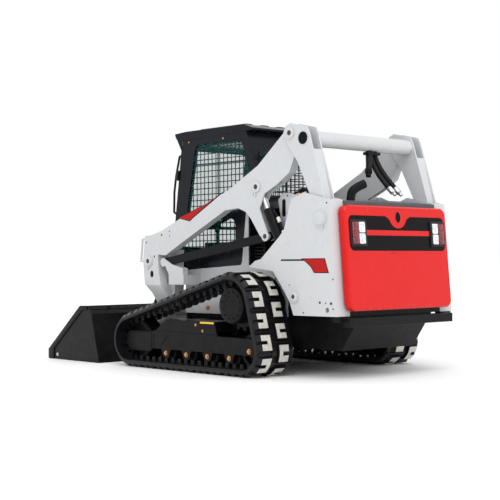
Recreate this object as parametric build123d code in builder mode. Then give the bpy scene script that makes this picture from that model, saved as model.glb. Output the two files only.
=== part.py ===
from build123d import *
import math
import os

# Compact track loader, millimetres.
# +X points forward, +Y to the machine's left, +Z up; the origin is on the ground under the
# middle of the machine. Paired pieces are made on the left and mirrored in the XZ plane.
# Outlines are (x, z) points seen from the side, and a layer is a pair of y values.

# Overall sizes
rear_end = -1765.5
front_end = 1765.5
cab_top = 1985.0

# Fits
seat_gap = 0.3
running_clearance = 0.05
moving_gap = 5.0
over_cut = 1.0

# Sides of the bars and wheels that repeat
bar_sides = 12
roller_sides = 16
idler_sides = 32
axle_sides = 8

# Linkage pivots
rear_link_foot = (-1536.0, 1216.0)
control_link_front = (414.0, 893.0)
arm_rear_pin = (-1201.0, 1885.0)
arm_lug_pin = (-899.0, 1094.0)
bucket_pin = (929.0, 185.0)
lift_cylinder_base = (-1261.0, 625.0)
lift_rod_pin = (-801.0, 1490.0)
tilt_cylinder_top = (590.0, 904.0)
tilt_rod_pin = (929.0, 355.0)
cross_tube_place = (-1341.0, 1836.0)

# Widths of the body and of the linkage's layers, from the middle outwards
body_half_width = 430.0
side_panel_plate = 12.0
mount_face = body_half_width + 2 * seat_gap + side_panel_plate
tower_offset = 110.0
tower_inner_face = body_half_width + tower_offset
tower_plate = 14.0
link_plate = 14.0
arm_width = 76.0
arm_wall = 11.0
tower_inner = (tower_inner_face, tower_inner_face + tower_plate)
link_inner = (tower_inner[1] + moving_gap, tower_inner[1] + moving_gap + link_plate)
arm_layer = (link_inner[1] + moving_gap, link_inner[1] + moving_gap + arm_width)
link_outer = (arm_layer[1] + moving_gap, arm_layer[1] + moving_gap + link_plate)
tower_outer = (link_outer[1] + moving_gap, link_outer[1] + moving_gap + tower_plate)
linkage_centre = (arm_layer[0] + arm_layer[1]) / 2
leg_inset = 38.0
leg_width = 100.0
leg_layer = (arm_layer[0] - leg_inset - leg_width, arm_layer[0] - leg_inset)
tilt_cylinder_y = leg_layer[0] - 70.0
control_link_plate = 24.0
control_link_y = arm_layer[0] + 30.0
control_link_layer = (control_link_y - control_link_plate / 2,
                      control_link_y + control_link_plate / 2)
bracket_plate = 12.0
bracket_gap = 4.0
bracket_inner = (control_link_layer[0] - bracket_gap - bracket_plate,
                 control_link_layer[0] - bracket_gap)
bracket_outer = (control_link_layer[1] + bracket_gap,
                 control_link_layer[1] + bracket_gap + bracket_plate)

# Pins
pivot_pin_radius = 30.0
cylinder_pin_radius = 24.0
bucket_pin_radius = 25.0
axle_radius = 24.0

# Tracks
track_inner_y = 565.0
track_width = 400.0
track_centre_y = track_inner_y + track_width / 2
belt_thickness = 30.0
lug_height = 28.0
lug_length = 44.0
lug_count = 52
lug_root = 4.0
lug_columns = ((79.0, 183.0, 0.0), (257.0, 364.0, 0.5))
front_idler_radius = 172.0
rear_idler_radius = 141.0
sprocket_radius = 207.0
rear_idler_x = -951.0
front_idler_x = 494.0
ground_to_wheel = belt_thickness + lug_height
front_idler = (front_idler_x, front_idler_radius + ground_to_wheel)
rear_idler = (rear_idler_x, rear_idler_radius + ground_to_wheel)
sprocket_centre = (-786.0, 552.0)
roller_radius = 75.0
roller_places = (-720.0, -456.0, -192.0, 72.0)
roller_gap = 0.3
roller_z = ground_to_wheel + roller_gap + roller_radius
wheel_width = 150.0
wheel_layer = (track_centre_y - wheel_width / 2, track_centre_y + wheel_width / 2)
wheel_gap = 28.0
track_frame_plate = 15.0
track_frame_inner = (wheel_layer[0] - wheel_gap - track_frame_plate, wheel_layer[0] - wheel_gap)
track_frame_outer = (wheel_layer[1] + wheel_gap, wheel_layer[1] + wheel_gap + track_frame_plate)

# Lower frame
frame_plate = 12.0
belly_height = 206.0
frame_top = 752.0
frame_rear = -1691.0
frame_front = 340.0
frame_step_x = -575.0
tail_beam = (482.0, 600.0)
tie_down_radius = 20.0
rear_tie_down = (-1600.0, 530.0)
front_tie_down = (290.0, 400.0)

# Engine bay
cover_bottom = 1320.0
bulkhead_x = -590.0
bulkhead_plate = 20.0
bulkhead_shoulder = 866.0

# Cab
cab_wall = 38.0
cab_floor_z = frame_top + seat_gap
cab_rear = -560.0
post_foot = (535.0, 916.0)
post_head = (385.0, cab_top - 25.0)
cab_top_rear = (-440.0, cab_top)
window_corner = 60.0
door_half_width = body_half_width - 15.0
door_bottom = 965.0
door_top = cab_top - 45.0
door_thickness = 24.0
door_rim = 60.0
door_gap = 3.0
glass_thickness = 6.0

# Tailgate and bumper
tailgate_half_width = 608.0
tailgate_bottom = 523.0
tailgate_top = 1318.0
tailgate_lean = 70.0
tailgate_thickness = 62.0
tailgate_corner = 62.0
tailgate_bevel = 12.0
bumper_half_width = 617.0
knuckle_length = 50.0

# Bucket
bucket_half_width = 940.0
bucket_plate = 12.0
bucket_heel_x = 951.0
bucket_back_height = 434.0
bucket_height = 506.0
bucket_back_lean = 14.5
edge_joint_x = 1640.0


def side_view(points, y):
    """A face from an outline of (x, z) points, standing at y and facing -Y."""
    with BuildSketch(Plane.XZ.offset(-y)) as view:
        with BuildLine():
            Polyline(*points, close=True)
        make_face()
    return view.sketch


def rounded_view(points, y, corner, inset=0.0):
    """The same with rounded corners, drawn in by an inset."""
    with BuildSketch(Plane.XZ.offset(-y)) as view:
        with BuildLine():
            Polyline(*points, close=True)
        make_face()
        offset(amount=-inset, kind=Kind.INTERSECTION)
        fillet(view.vertices(), corner - inset)
    return view.sketch


def disc(centre, radius, y):
    """A round face about an (x, z) centre, standing at y and facing -Y."""
    with BuildSketch(Plane.XZ.offset(-y)) as view:
        with Locations(centre):
            Circle(radius)
    return view.sketch


def span(layer):
    return layer[1] - layer[0]


def polar(centre, radius, degrees):
    turn = math.radians(degrees)
    return (centre[0] + radius * math.cos(turn), centre[1] + radius * math.sin(turn))


def along(start, end, distance, side=0.0):
    """The point at a distance from start towards end, moved sideways to the left."""
    length = math.dist(start, end)
    ux, uz = (end[0] - start[0]) / length, (end[1] - start[1]) / length
    return (start[0] + distance * ux - side * uz, start[1] + distance * uz + side * ux)


def facets(centre, radius, sides, y):
    """A many-sided face about an (x, z) centre, for wheels that repeat."""
    with BuildSketch(Plane.XZ.offset(-y)) as view:
        with Locations(centre):
            RegularPolygon(radius, sides)
    return view.sketch


def bar(route, radius):
    """A bar of bar_sides sides bent along (x, y, z) points."""
    with BuildPart() as bent:
        with BuildLine() as path:
            Polyline(*route)
        with BuildSketch(Plane(origin=path.line @ 0, z_dir=path.line % 0)):
            RegularPolygon(radius, bar_sides)
        sweep(path=path.line, transition=Transition.RIGHT)
    return bent.part


def tangent_angle(first, first_radius, second, second_radius):
    """Direction of the outward normal of the belt run from one wheel to the next."""
    distance = math.dist(first, second)
    bearing = math.degrees(math.atan2(second[1] - first[1], second[0] - first[0]))
    return bearing - math.degrees(math.acos((first_radius - second_radius) / distance))


wheels = (
    (rear_idler, rear_idler_radius),
    (front_idler, front_idler_radius),
    (sprocket_centre, sprocket_radius),
)


def loop_stations(offset):
    """Runs and arcs of the loop round the three wheels, counter-clockwise from below."""
    stations = []
    for index in range(3):
        here, radius = wheels[index]
        after, next_radius = wheels[(index + 1) % 3]
        before, last_radius = wheels[index - 1]
        arrive = tangent_angle(before, last_radius, here, radius)
        leave = tangent_angle(here, radius, after, next_radius)
        while leave < arrive:
            leave += 360
        stations.append((here, radius + offset, arrive, leave))
    return stations


def loop_face(offset, y):
    """The side view of the space inside a belt that runs round the three wheels."""
    stations = loop_stations(offset)
    with BuildSketch(Plane.XZ.offset(-y)) as view:
        with BuildLine():
            for index in range(3):
                centre, radius, arrive, leave = stations[index]
                CenterArc(centre, radius, arrive, leave - arrive)
                after, next_radius, next_arrive, _ = stations[(index + 1) % 3]
                Line(polar(centre, radius, leave), polar(after, next_radius, next_arrive))
        make_face()
    return view.sketch


def loop_place(distance, offset):
    """Point and outward direction at a distance along the belt's outer face."""
    stations = loop_stations(offset)
    for index in range(3):
        centre, radius, arrive, leave = stations[index]
        arc = math.radians(leave - arrive) * radius
        if distance <= arc:
            angle = arrive + math.degrees(distance / radius)
            return polar(centre, radius, angle), angle
        distance -= arc
        after, next_radius, next_arrive, _ = stations[(index + 1) % 3]
        start = polar(centre, radius, leave)
        end = polar(after, next_radius, next_arrive)
        run = math.dist(start, end)
        if distance <= run:
            return along(start, end, distance), leave
        distance -= run
    return loop_place(distance, offset)


def loop_length(offset):
    total = 0.0
    stations = loop_stations(offset)
    for index in range(3):
        centre, radius, arrive, leave = stations[index]
        after, next_radius, next_arrive, _ = stations[(index + 1) % 3]
        total += math.radians(leave - arrive) * radius
        total += math.dist(polar(centre, radius, leave), polar(after, next_radius, next_arrive))
    return total


os.makedirs("parts", exist_ok=True)


def write(part, name):
    part.label = name
    export_step(part, f"parts/{name}.step")


def write_pair(part, name):
    write(part, name + "_left")
    write(part.mirror(Plane.XZ), name + "_right")


# Rubber tracks: a belt with two staggered columns of lugs
track_outer_y = track_inner_y + track_width
pitch = loop_length(belt_thickness) / lug_count


def lug_face(y, phase):
    with BuildSketch(Plane.XZ.offset(-y)) as lugs:
        for index in range(lug_count):
            place, angle = loop_place((index + phase) * pitch, belt_thickness)
            centre = polar(place, (lug_height - lug_root) / 2, angle)
            with Locations(Location((*centre, 0), (0, 0, angle))):
                Rectangle(lug_height + lug_root, lug_length)
        with Locations(((rear_idler_x + front_idler_x) / 2, -lug_height)):
            Rectangle(2 * (front_idler_x - rear_idler_x), 2 * lug_height, mode=Mode.SUBTRACT)
    return lugs.sketch


with BuildPart() as track:
    extrude(loop_face(belt_thickness, track_outer_y), amount=track_width)
    for column_inner, column_outer, phase in lug_columns:
        extrude(lug_face(track_inner_y + column_outer, phase), amount=column_outer - column_inner)
    extrude(loop_face(seat_gap, track_outer_y + over_cut), amount=track_width + 2 * over_cut,
            mode=Mode.SUBTRACT)
write_pair(track.part, "track")

# Drive sprockets with their hubs and motor housings
hub_radius = 140.0
motor_radius = 120.0
sprocket_rim = 60.0
tooth_count = 15
tooth_height = 30.0
tooth_width = 44.0
sprocket_layer = (track_centre_y - sprocket_rim / 2, track_centre_y + sprocket_rim / 2)
hub_outer_y = track_outer_y - 40.0
tooth_middle = sprocket_radius - 2.0 - tooth_height / 2
with BuildPart() as sprockets:
    with BuildSketch(Plane.XZ.offset(-sprocket_layer[1])):
        with Locations(sprocket_centre):
            RegularPolygon(sprocket_radius - 2.0 - tooth_height, 2 * tooth_count)
            with PolarLocations(tooth_middle - 2.0, tooth_count):
                Rectangle(tooth_height + 4.0, tooth_width)
    extrude(amount=span(sprocket_layer))
    extrude(disc(sprocket_centre, hub_radius, hub_outer_y), amount=hub_outer_y - sprocket_layer[1])
    extrude(facets(sprocket_centre, motor_radius, roller_sides, sprocket_layer[0]),
            amount=sprocket_layer[0] - mount_face)
    mirror(about=Plane.XZ)
write(sprockets.part, "drive_sprockets")

# Idlers, dished on their outer sides, and rollers
idler_rim = 35.0
idler_dish = 30.0
idler_hub_radius = 60.0


def wheel(centre, radius, sides):
    """A wheel between the plates of the track frame, with its axle."""
    with BuildPart() as turned:
        extrude(facets(centre, radius, sides, wheel_layer[1]), amount=span(wheel_layer))
        extrude(facets(centre, axle_radius, axle_sides, track_frame_outer[0]),
                amount=track_frame_outer[0] - track_frame_inner[1])
    return turned.part


with BuildPart() as idlers:
    for centre, radius in ((front_idler, front_idler_radius), (rear_idler, rear_idler_radius)):
        add(wheel(centre, radius - roller_gap, idler_sides))
        with BuildSketch(Plane.XZ.offset(-wheel_layer[1])):
            with Locations(centre):
                RegularPolygon(radius - idler_rim, idler_sides)
                RegularPolygon(idler_hub_radius, roller_sides, mode=Mode.SUBTRACT)
        extrude(amount=idler_dish, mode=Mode.SUBTRACT)
    mirror(about=Plane.XZ)
write(idlers.part, "track_idlers")

with BuildPart() as rollers:
    for x in roller_places:
        add(wheel((x, roller_z), roller_radius, roller_sides))
    mirror(about=Plane.XZ)
write(rollers.part, "track_rollers")

# Track frames: two plates under a bridge, carried by two beams from the lower frame
track_frame_outline = (
    (-1002, 165), (250, 165), (280, 139), (560, 139), (610, 190), (610, 270), (560, 305),
    (280, 309), (215, 317), (62, 413), (-540, 413), (-575, 300), (-1002, 296),
)
bridge_outline = ((-540, 330), (130, 330), (62, 413), (-540, 413))
lobe_outline = ((-62, 166), (-34, 96), (34, 96), (62, 166))
beam_places = (-470.0, 0.0)
beam_size = (120.0, 100.0)
beam_z = 360.0
beam_start = body_half_width + seat_gap
with BuildPart() as track_frame:
    for layer in (track_frame_outer, track_frame_inner):
        extrude(side_view(track_frame_outline, layer[1]), amount=span(layer))
        for place in roller_places:
            lobe = [(place + x, z) for x, z in lobe_outline]
            extrude(side_view(lobe, layer[1]), amount=span(layer))
    extrude(side_view(bridge_outline, track_frame_outer[1]),
            amount=track_frame_outer[1] - track_frame_inner[0])
    for x in beam_places:
        with Locations((x, (beam_start + track_frame_inner[0]) / 2, beam_z)):
            Box(beam_size[0], track_frame_inner[0] - beam_start, beam_size[1])
write_pair(track_frame.part, "track_frame")

# Lower frame: an open welded tub between the tracks, with feet for the towers
frame_outline = (
    (frame_rear, tail_beam[0]), (-1500, belly_height), (250, belly_height), (frame_front, 300),
    (frame_front, frame_top), (frame_step_x, frame_top), (frame_step_x, tail_beam[1]),
    (frame_rear, tail_beam[1]),
)
tub_space = (
    (frame_rear + frame_plate, tail_beam[0] + 18), (-1490, belly_height + frame_plate),
    (240, belly_height + frame_plate), (frame_front - frame_plate, 310),
    (frame_front - frame_plate, frame_top - frame_plate),
    (frame_step_x + frame_plate, frame_top - frame_plate),
    (frame_step_x + frame_plate, tail_beam[1] + 20), (frame_rear + frame_plate, tail_beam[1] + 20),
)
foot_x = -1467.0
foot_length = 444.0
with BuildPart() as main_frame:
    extrude(side_view(frame_outline, body_half_width), amount=2 * body_half_width)
    extrude(side_view(tub_space, body_half_width - frame_plate),
            amount=2 * (body_half_width - frame_plate), mode=Mode.SUBTRACT)
    with Locations((foot_x, (body_half_width + tower_inner[0]) / 2, sum(tail_beam) / 2)):
        Box(foot_length, tower_inner[0] - body_half_width, span(tail_beam))
    mirror(about=Plane.XZ)
    extrude(disc(front_tie_down, tie_down_radius, body_half_width + over_cut),
            amount=2 * (body_half_width + over_cut), mode=Mode.SUBTRACT)
write(main_frame.part, "main_frame")

# White side panels: a rail over the track and a post behind the cab's rear corner
side_panel_bottom = 450.0
side_panel_outline = (
    (-930, side_panel_bottom), (frame_front, side_panel_bottom), (frame_front, 824), (-377, 867),
    (-393, 891), (-445, 1306), (-494, 1306), (-515, 891), (-530, bulkhead_shoulder),
    (-930, bulkhead_shoulder),
)
with BuildPart() as side_panel:
    extrude(side_view(side_panel_outline, body_half_width + seat_gap + side_panel_plate),
            amount=side_panel_plate)
write_pair(side_panel.part, "side_panel")

# Body towers: an inner plate with the rear web and the linkage's fixed pins, and an outer
# plate that closes them
tower_outline = (
    (-1691, 483), (-1245, 481), (-1203, 584), (-1136, 677), (-1024, 819), (-744, 851),
    (-816, 899), (-886, 915), (-1095, 1088), (-1146, 1140), (-1210, 1329), (-1231, 1373),
    (-1355, 1418), (-1456, 1399), (-1623, 1356),
)
rear_web = ((-1691, 483), (-1660, 483), (-1592, 1364), (-1623, 1356))
link_boss_radius = 62.0
link_boss_height = 14.0
cylinder_boss_radius = 45.0
tower_pin_end = tower_outer[0] - seat_gap
with BuildPart() as tower:
    for layer in (tower_outer, tower_inner):
        extrude(side_view(tower_outline, layer[1]), amount=span(layer))
    extrude(side_view(rear_web, tower_pin_end), amount=tower_pin_end - tower_inner[0])
    for pin, pin_radius, boss_radius in (
        (rear_link_foot, pivot_pin_radius, link_boss_radius),
        (lift_cylinder_base, cylinder_pin_radius, cylinder_boss_radius),
    ):
        extrude(disc(pin, pin_radius, tower_pin_end), amount=tower_pin_end - tower_inner[0])
        extrude(disc(pin, boss_radius, tower_outer[1] + link_boss_height),
                amount=link_boss_height)
    extrude(disc(rear_tie_down, tie_down_radius, tower_outer[1] + over_cut),
            amount=span(tower_outer) + 2 * over_cut, mode=Mode.SUBTRACT)
write(tower.part, "body_tower_left")

# Tailgate plane, leaning forward at its top, and its hinge on the right-hand tower
lean = math.atan2(tailgate_lean, tailgate_top - tailgate_bottom)
tailgate_plane = Plane(
    origin=(rear_end, 0, tailgate_bottom),
    x_dir=(0, -1, 0),
    z_dir=(-math.cos(lean), 0, math.sin(lean)),
)
tailgate_height = (tailgate_top - tailgate_bottom) / math.cos(lean)
gate_hinge_across = tailgate_half_width + 16.0
gate_hinge_depth = -48.0
gate_hinge_heights = (130.0, 640.0)
gate_knuckle_radius = 14.0
gate_knuckle_gap = 0.5
gate_arm = 44.0
gate_socket = 36.0
gate_pin_radius = 8.0
gate_pin_end = 14.0


def gate_section(height):
    """The plane square to the tailgate's hinge, at a height up its rear face."""
    return Plane(
        origin=tailgate_plane.from_local_coords((gate_hinge_across, height, gate_hinge_depth)),
        x_dir=(0, -1, 0),
        z_dir=tailgate_plane.y_dir,
    )


with BuildPart() as right_tower:
    add(tower.part.mirror(Plane.XZ))
    for height in gate_hinge_heights:
        with BuildSketch(gate_section(height - gate_socket)):
            Circle(gate_knuckle_radius)
            with Locations((0, gate_arm / 2)):
                Rectangle(2 * gate_knuckle_radius, gate_arm)
        extrude(amount=gate_socket)
        with BuildSketch(gate_section(height - gate_socket / 3)):
            Circle(gate_pin_radius)
        extrude(amount=knuckle_length + gate_pin_end)
write(right_tower.part, "body_tower_right")

# Front brackets that carry the control links, on fenders above the tracks
bracket_outline = (
    (145, 816), (200, 812), (335, 786), (388, 865), (414, 893), (386, 919), (300, 876),
    (145, 840),
)
bracket_eye_radius = 38.0
fender_x = (136.0, 336.0)
fender_z = (700.0, 784.0)
pedestal_x = (146.0, 326.0)
pedestal_top = 820.0
with BuildPart() as bracket:
    for layer in (bracket_outer, bracket_inner):
        extrude(side_view(bracket_outline, layer[1]), amount=span(layer))
        extrude(disc(control_link_front, bracket_eye_radius, layer[1]), amount=span(layer))
    with Locations((sum(fender_x) / 2, (mount_face + bracket_outer[1]) / 2, sum(fender_z) / 2)):
        Box(span(fender_x), bracket_outer[1] - mount_face, span(fender_z))
    with Locations((sum(pedestal_x) / 2, (bracket_inner[0] + bracket_outer[1]) / 2,
                    (fender_z[1] + pedestal_top) / 2)):
        Box(span(pedestal_x), bracket_outer[1] - bracket_inner[0], pedestal_top - fender_z[1])
    extrude(disc(control_link_front, cylinder_pin_radius, bracket_outer[1]),
            amount=bracket_outer[1] - bracket_inner[0])
write_pair(bracket.part, "control_link_bracket")

# Rear links, joined by a cross tube
link_outline = (
    (-1376, 1922), (-1399, 1879), (-1553, 1386), (-1596, 1230), (-1570, 1166), (-1502, 1160),
    (-1406, 1409), (-1281, 1656), (-1150, 1830), (-1124, 1885), (-1150, 1940), (-1201, 1962),
)
link_web_outline = ((-1553, 1330), (-1440, 1748), (-1420, 1742), (-1533, 1324))
link_foot_radius = 56.0
cross_tube_radius = 62.0
with BuildPart() as rear_link:
    for layer in (link_outer, link_inner):
        extrude(side_view(link_outline, layer[1]), amount=span(layer))
    extrude(side_view(link_web_outline, link_outer[1]), amount=link_outer[1] - link_inner[0])
    extrude(disc(rear_link_foot, link_foot_radius, link_outer[1]),
            amount=link_outer[1] - link_inner[0])
    extrude(disc(rear_link_foot, pivot_pin_radius + running_clearance, link_outer[1] + over_cut),
            amount=link_outer[1] - link_inner[0] + 2 * over_cut, mode=Mode.SUBTRACT)
    mirror(about=Plane.XZ)
    extrude(disc(cross_tube_place, cross_tube_radius, link_inner[0]), amount=2 * link_inner[0])
write(rear_link.part, "rear_link")

# Hydraulic hoses down from the cross tube towards the engine cover
hose_radius = 11.0
hose_bend = 40.0
hose_start_z = cross_tube_place[1] - cross_tube_radius + 4.0
hose_routes = (
    ((-1341, -95, hose_start_z), (-1347, -95, 1640), (-1548, -130, 1440)),
    ((-1341, -150, hose_start_z), (-1347, -150, 1660), (-1550, -203, 1440)),
)
with BuildPart() as hoses:
    for route in hose_routes:
        with BuildLine() as hose_path:
            FilletPolyline(*route, radius=hose_bend)
        with BuildSketch(Plane(origin=hose_path.line @ 0, z_dir=hose_path.line % 0)):
            Circle(hose_radius)
        sweep(path=hose_path.line)
    extrude(disc(cross_tube_place, cross_tube_radius + seat_gap, link_inner[0]),
            amount=2 * link_inner[0], mode=Mode.SUBTRACT)
write(hoses.part, "lift_hoses")

# Control links
control_link_half = 35.0
control_link_length = math.dist(control_link_front, arm_lug_pin)
with BuildPart() as control_links:
    corners = [
        along(control_link_front, arm_lug_pin, distance, side)
        for distance, side in (
            (0, control_link_half), (control_link_length, control_link_half),
            (control_link_length, -control_link_half), (0, -control_link_half),
        )
    ]
    extrude(side_view(corners, control_link_layer[1]), amount=control_link_plate)
    for pivot in (control_link_front, arm_lug_pin):
        extrude(disc(pivot, control_link_half, control_link_layer[1]), amount=control_link_plate)
        extrude(disc(pivot, cylinder_pin_radius + running_clearance,
                     control_link_layer[1] + over_cut),
                amount=control_link_plate + 2 * over_cut, mode=Mode.SUBTRACT)
    mirror(about=Plane.XZ)
write(control_links.part, "control_links")

# Lift arms: a box beam over each side, slotted where the cylinder and the control link
# enter, with a knee that folds inwards to the leg at the bucket
arm_outline = (
    (-1208, 1945), (-1255, 1915), (-1262, 1850), (-1248, 1752), (-1169, 1582), (-1025, 1494),
    (-889, 1432), (-870, 1395), (-831, 1316), (-936, 1097), (-924, 1068), (-899, 1057),
    (-836, 1099), (-730, 1240), (-673, 1294), (-583, 1328), (-424, 1316), (120, 1067),
    (357, 953), (462, 960), (462, 875), (450, 800), (440, 769), (425, 692), (649, 692),
    (660, 768), (673, 923), (645, 1129), (571, 1129), (400, 1171), (155, 1267), (-452, 1474),
    (-816, 1659), (-1150, 1925),
)
slot_outline = (
    (-1120, 1000), (-1120, 1500), (-1000, 1560), (-860, 1580), (-560, 1420), (-540, 1000),
)
leg_outline = (
    (366, 1000), (366, 690), (375, 601), (410, 500), (520, 380), (700, 262), (895, 152),
    (929, 140), (962, 150), (977, 185), (966, 215), (820, 330), (690, 440), (619, 543),
    (606, 690), (640, 800), (660, 1000),
)
knee_outline = ((462, 700), (640, 700), (650, 768), (665, 923), (650, 1060), (462, 1010))
fold_outline = ((425, 700), (395, 540), (619, 540), (610, 620), (640, 700))
fold_z = (540.0, 692.0)
guard_radius = 9.0
guard_outline = ((640, 1100), (728, 1100), (752, 905), (640, 905))
tilt_cap_height = 8.0
tilt_boss_radius = 40.0
tilt_cap_radius = 55.0
tilt_eye_width = 46.0
tilt_boss_gap = 20.0
tilt_pin_end = 9.0
with BuildPart() as lift_arm:
    extrude(side_view(fold_outline, arm_layer[1]), amount=arm_layer[1] - leg_layer[0])
    with BuildSketch(Plane.YZ.offset(leg_outline[0][0])):
        with BuildLine():
            Polyline((leg_layer[1], fold_z[0]), (arm_layer[1], fold_z[1]),
                     (arm_layer[1] + over_cut, fold_z[1]), (arm_layer[1] + over_cut, 0),
                     (leg_layer[1], 0), close=True)
        make_face()
    extrude(amount=leg_outline[-1][0] - leg_outline[0][0], mode=Mode.SUBTRACT)
    extrude(side_view(arm_outline, arm_layer[1]), amount=span(arm_layer))
    extrude(side_view(slot_outline, arm_layer[1] - arm_wall),
            amount=span(arm_layer) - 2 * arm_wall, mode=Mode.SUBTRACT)
    extrude(side_view(knee_outline, arm_layer[1]), amount=arm_layer[1] - leg_layer[0])
    extrude(side_view(leg_outline, leg_layer[1]), amount=span(leg_layer))
    extrude(disc(arm_lug_pin, cylinder_pin_radius, arm_layer[1] - arm_wall),
            amount=span(arm_layer) - 2 * arm_wall)
    extrude(disc(bucket_pin, bucket_pin_radius + running_clearance, leg_layer[1] + over_cut),
            amount=span(leg_layer) + 2 * over_cut, mode=Mode.SUBTRACT)
    tilt_boss_y = tilt_cylinder_y + tilt_eye_width / 2 + tilt_boss_gap
    extrude(disc(tilt_cylinder_top, tilt_boss_radius, leg_layer[0]),
            amount=leg_layer[0] - tilt_boss_y)
    extrude(disc(tilt_cylinder_top, cylinder_pin_radius, tilt_boss_y),
            amount=tilt_boss_gap + tilt_eye_width + tilt_pin_end)
    extrude(disc(tilt_cylinder_top, tilt_cap_radius, arm_layer[1] + tilt_cap_height),
            amount=tilt_cap_height)
    add(bar([(x, linkage_centre, z) for x, z in guard_outline], guard_radius))
write_pair(lift_arm.part, "lift_arm")

# Cross member between the lower legs
cross_member_centre = (690.0, 420.0)
cross_member_radius = 52.0
with BuildPart() as cross_member:
    extrude(disc(cross_member_centre, cross_member_radius, leg_layer[0]),
            amount=2 * leg_layer[0])
write(cross_member.part, "arm_cross_member")


def barrel(base, rod_pin, length, radius, eye_radius, y, eye_width, rod_radius):
    """A cylinder barrel with its base eye, from its base pin towards its rod's pin."""
    direction = Vector(rod_pin[0] - base[0], 0, rod_pin[1] - base[1]).normalized()
    eye = Vector(base[0], y, base[1])
    neck = eye_radius * 0.6
    bore_start = eye_radius + 40.0
    with BuildPart() as made:
        extrude(disc(base, eye_radius, y + eye_width / 2), amount=eye_width)
        with BuildSketch(Plane(origin=eye + direction * neck, z_dir=direction)):
            Circle(radius)
        extrude(amount=length - neck)
        extrude(disc(base, cylinder_pin_radius + running_clearance, y + radius + over_cut),
                amount=2 * (radius + over_cut), mode=Mode.SUBTRACT)
        with BuildSketch(Plane(origin=eye + direction * bore_start, z_dir=direction)):
            Circle(rod_radius + running_clearance)
        extrude(amount=length, mode=Mode.SUBTRACT)
    return made.part


def rod(base, rod_pin, start, radius, eye_radius, y, eye_width):
    """A piston rod with its eye, from inside the barrel to its pin."""
    direction = Vector(rod_pin[0] - base[0], 0, rod_pin[1] - base[1]).normalized()
    length = math.dist(base, rod_pin)
    with BuildPart() as made:
        with BuildSketch(Plane(origin=Vector(base[0], y, base[1]) + direction * start,
                               z_dir=direction)):
            Circle(radius)
        extrude(amount=length - start - eye_radius * 0.5)
        extrude(disc(rod_pin, eye_radius, y + eye_width / 2), amount=eye_width)
    return made.part


lift_barrel_length = 770.0
lift_barrel_radius = 45.0
lift_barrel_eye_radius = 45.0
lift_barrel_eye_width = 52.0
lift_rod_radius = 22.0
lift_rod_start = 130.0
lift_rod_eye_radius = 40.0
lift_rod_eye_width = 44.0
tilt_barrel_length = 500.0
tilt_barrel_radius = 38.0
tilt_barrel_eye_radius = 40.0
tilt_rod_radius = 18.0
tilt_rod_start = 165.0
tilt_rod_eye_radius = 30.0
tilt_rod_eye_width = 36.0
with BuildPart() as lift_barrels:
    add(barrel(lift_cylinder_base, lift_rod_pin, lift_barrel_length, lift_barrel_radius,
               lift_barrel_eye_radius, linkage_centre, lift_barrel_eye_width, lift_rod_radius))
    mirror(about=Plane.XZ)
write(lift_barrels.part, "lift_cylinder_barrels")
with BuildPart() as lift_rods:
    add(rod(lift_cylinder_base, lift_rod_pin, lift_rod_start, lift_rod_radius,
            lift_rod_eye_radius, linkage_centre, lift_rod_eye_width))
    mirror(about=Plane.XZ)
write(lift_rods.part, "lift_cylinder_rods")
with BuildPart() as tilt_barrels:
    add(barrel(tilt_cylinder_top, tilt_rod_pin, tilt_barrel_length, tilt_barrel_radius,
               tilt_barrel_eye_radius, tilt_cylinder_y, tilt_eye_width, tilt_rod_radius))
    mirror(about=Plane.XZ)
write(tilt_barrels.part, "tilt_cylinder_barrels")
with BuildPart() as tilt_rods:
    add(rod(tilt_cylinder_top, tilt_rod_pin, tilt_rod_start, tilt_rod_radius,
            tilt_rod_eye_radius, tilt_cylinder_y, tilt_rod_eye_width))
    mirror(about=Plane.XZ)
write(tilt_rods.part, "tilt_cylinder_rods")

# Bucket: a wrapper between two side plates, with ribs under its lip's edge
back_slope = math.radians(bucket_back_lean)


def back_line(height, depth):
    """A point behind the bucket's back: at a height, and a depth away from its face."""
    return (bucket_heel_x + height * math.tan(back_slope) - depth / math.cos(back_slope), height)


lip_x = (1120.0, 1130.0)
wrapper_outline = (
    back_line(0, 0), (edge_joint_x, 0), (edge_joint_x, bucket_plate),
    back_line(bucket_plate, -bucket_plate), back_line(bucket_back_height - 4, -bucket_plate),
    (lip_x[1], bucket_height - bucket_plate), (lip_x[1], bucket_height),
    (lip_x[0], bucket_height), back_line(bucket_back_height, 0),
)
side_outline = (
    back_line(0, 0), (front_end - 23.5, 0), (front_end - 23.5, 90), (1230, bucket_height - 2),
    (lip_x[0] + 5, bucket_height), back_line(bucket_back_height, 0),
)
edge_outline = (
    (edge_joint_x + seat_gap, 0), (front_end, 0), (front_end, 5), (front_end - 45, 20),
    (edge_joint_x + seat_gap, 20),
)
with BuildPart() as bucket:
    extrude(side_view(wrapper_outline, bucket_half_width), amount=2 * bucket_half_width)
    for y in (bucket_half_width, -bucket_half_width + bucket_plate):
        extrude(side_view(side_outline, y), amount=bucket_plate)
write(bucket.part, "bucket")
edge_half_width = bucket_half_width - bucket_plate - seat_gap
with BuildPart() as cutting_edge:
    extrude(side_view(edge_outline, edge_half_width), amount=2 * edge_half_width)
write(cutting_edge.part, "cutting_edge")

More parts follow.
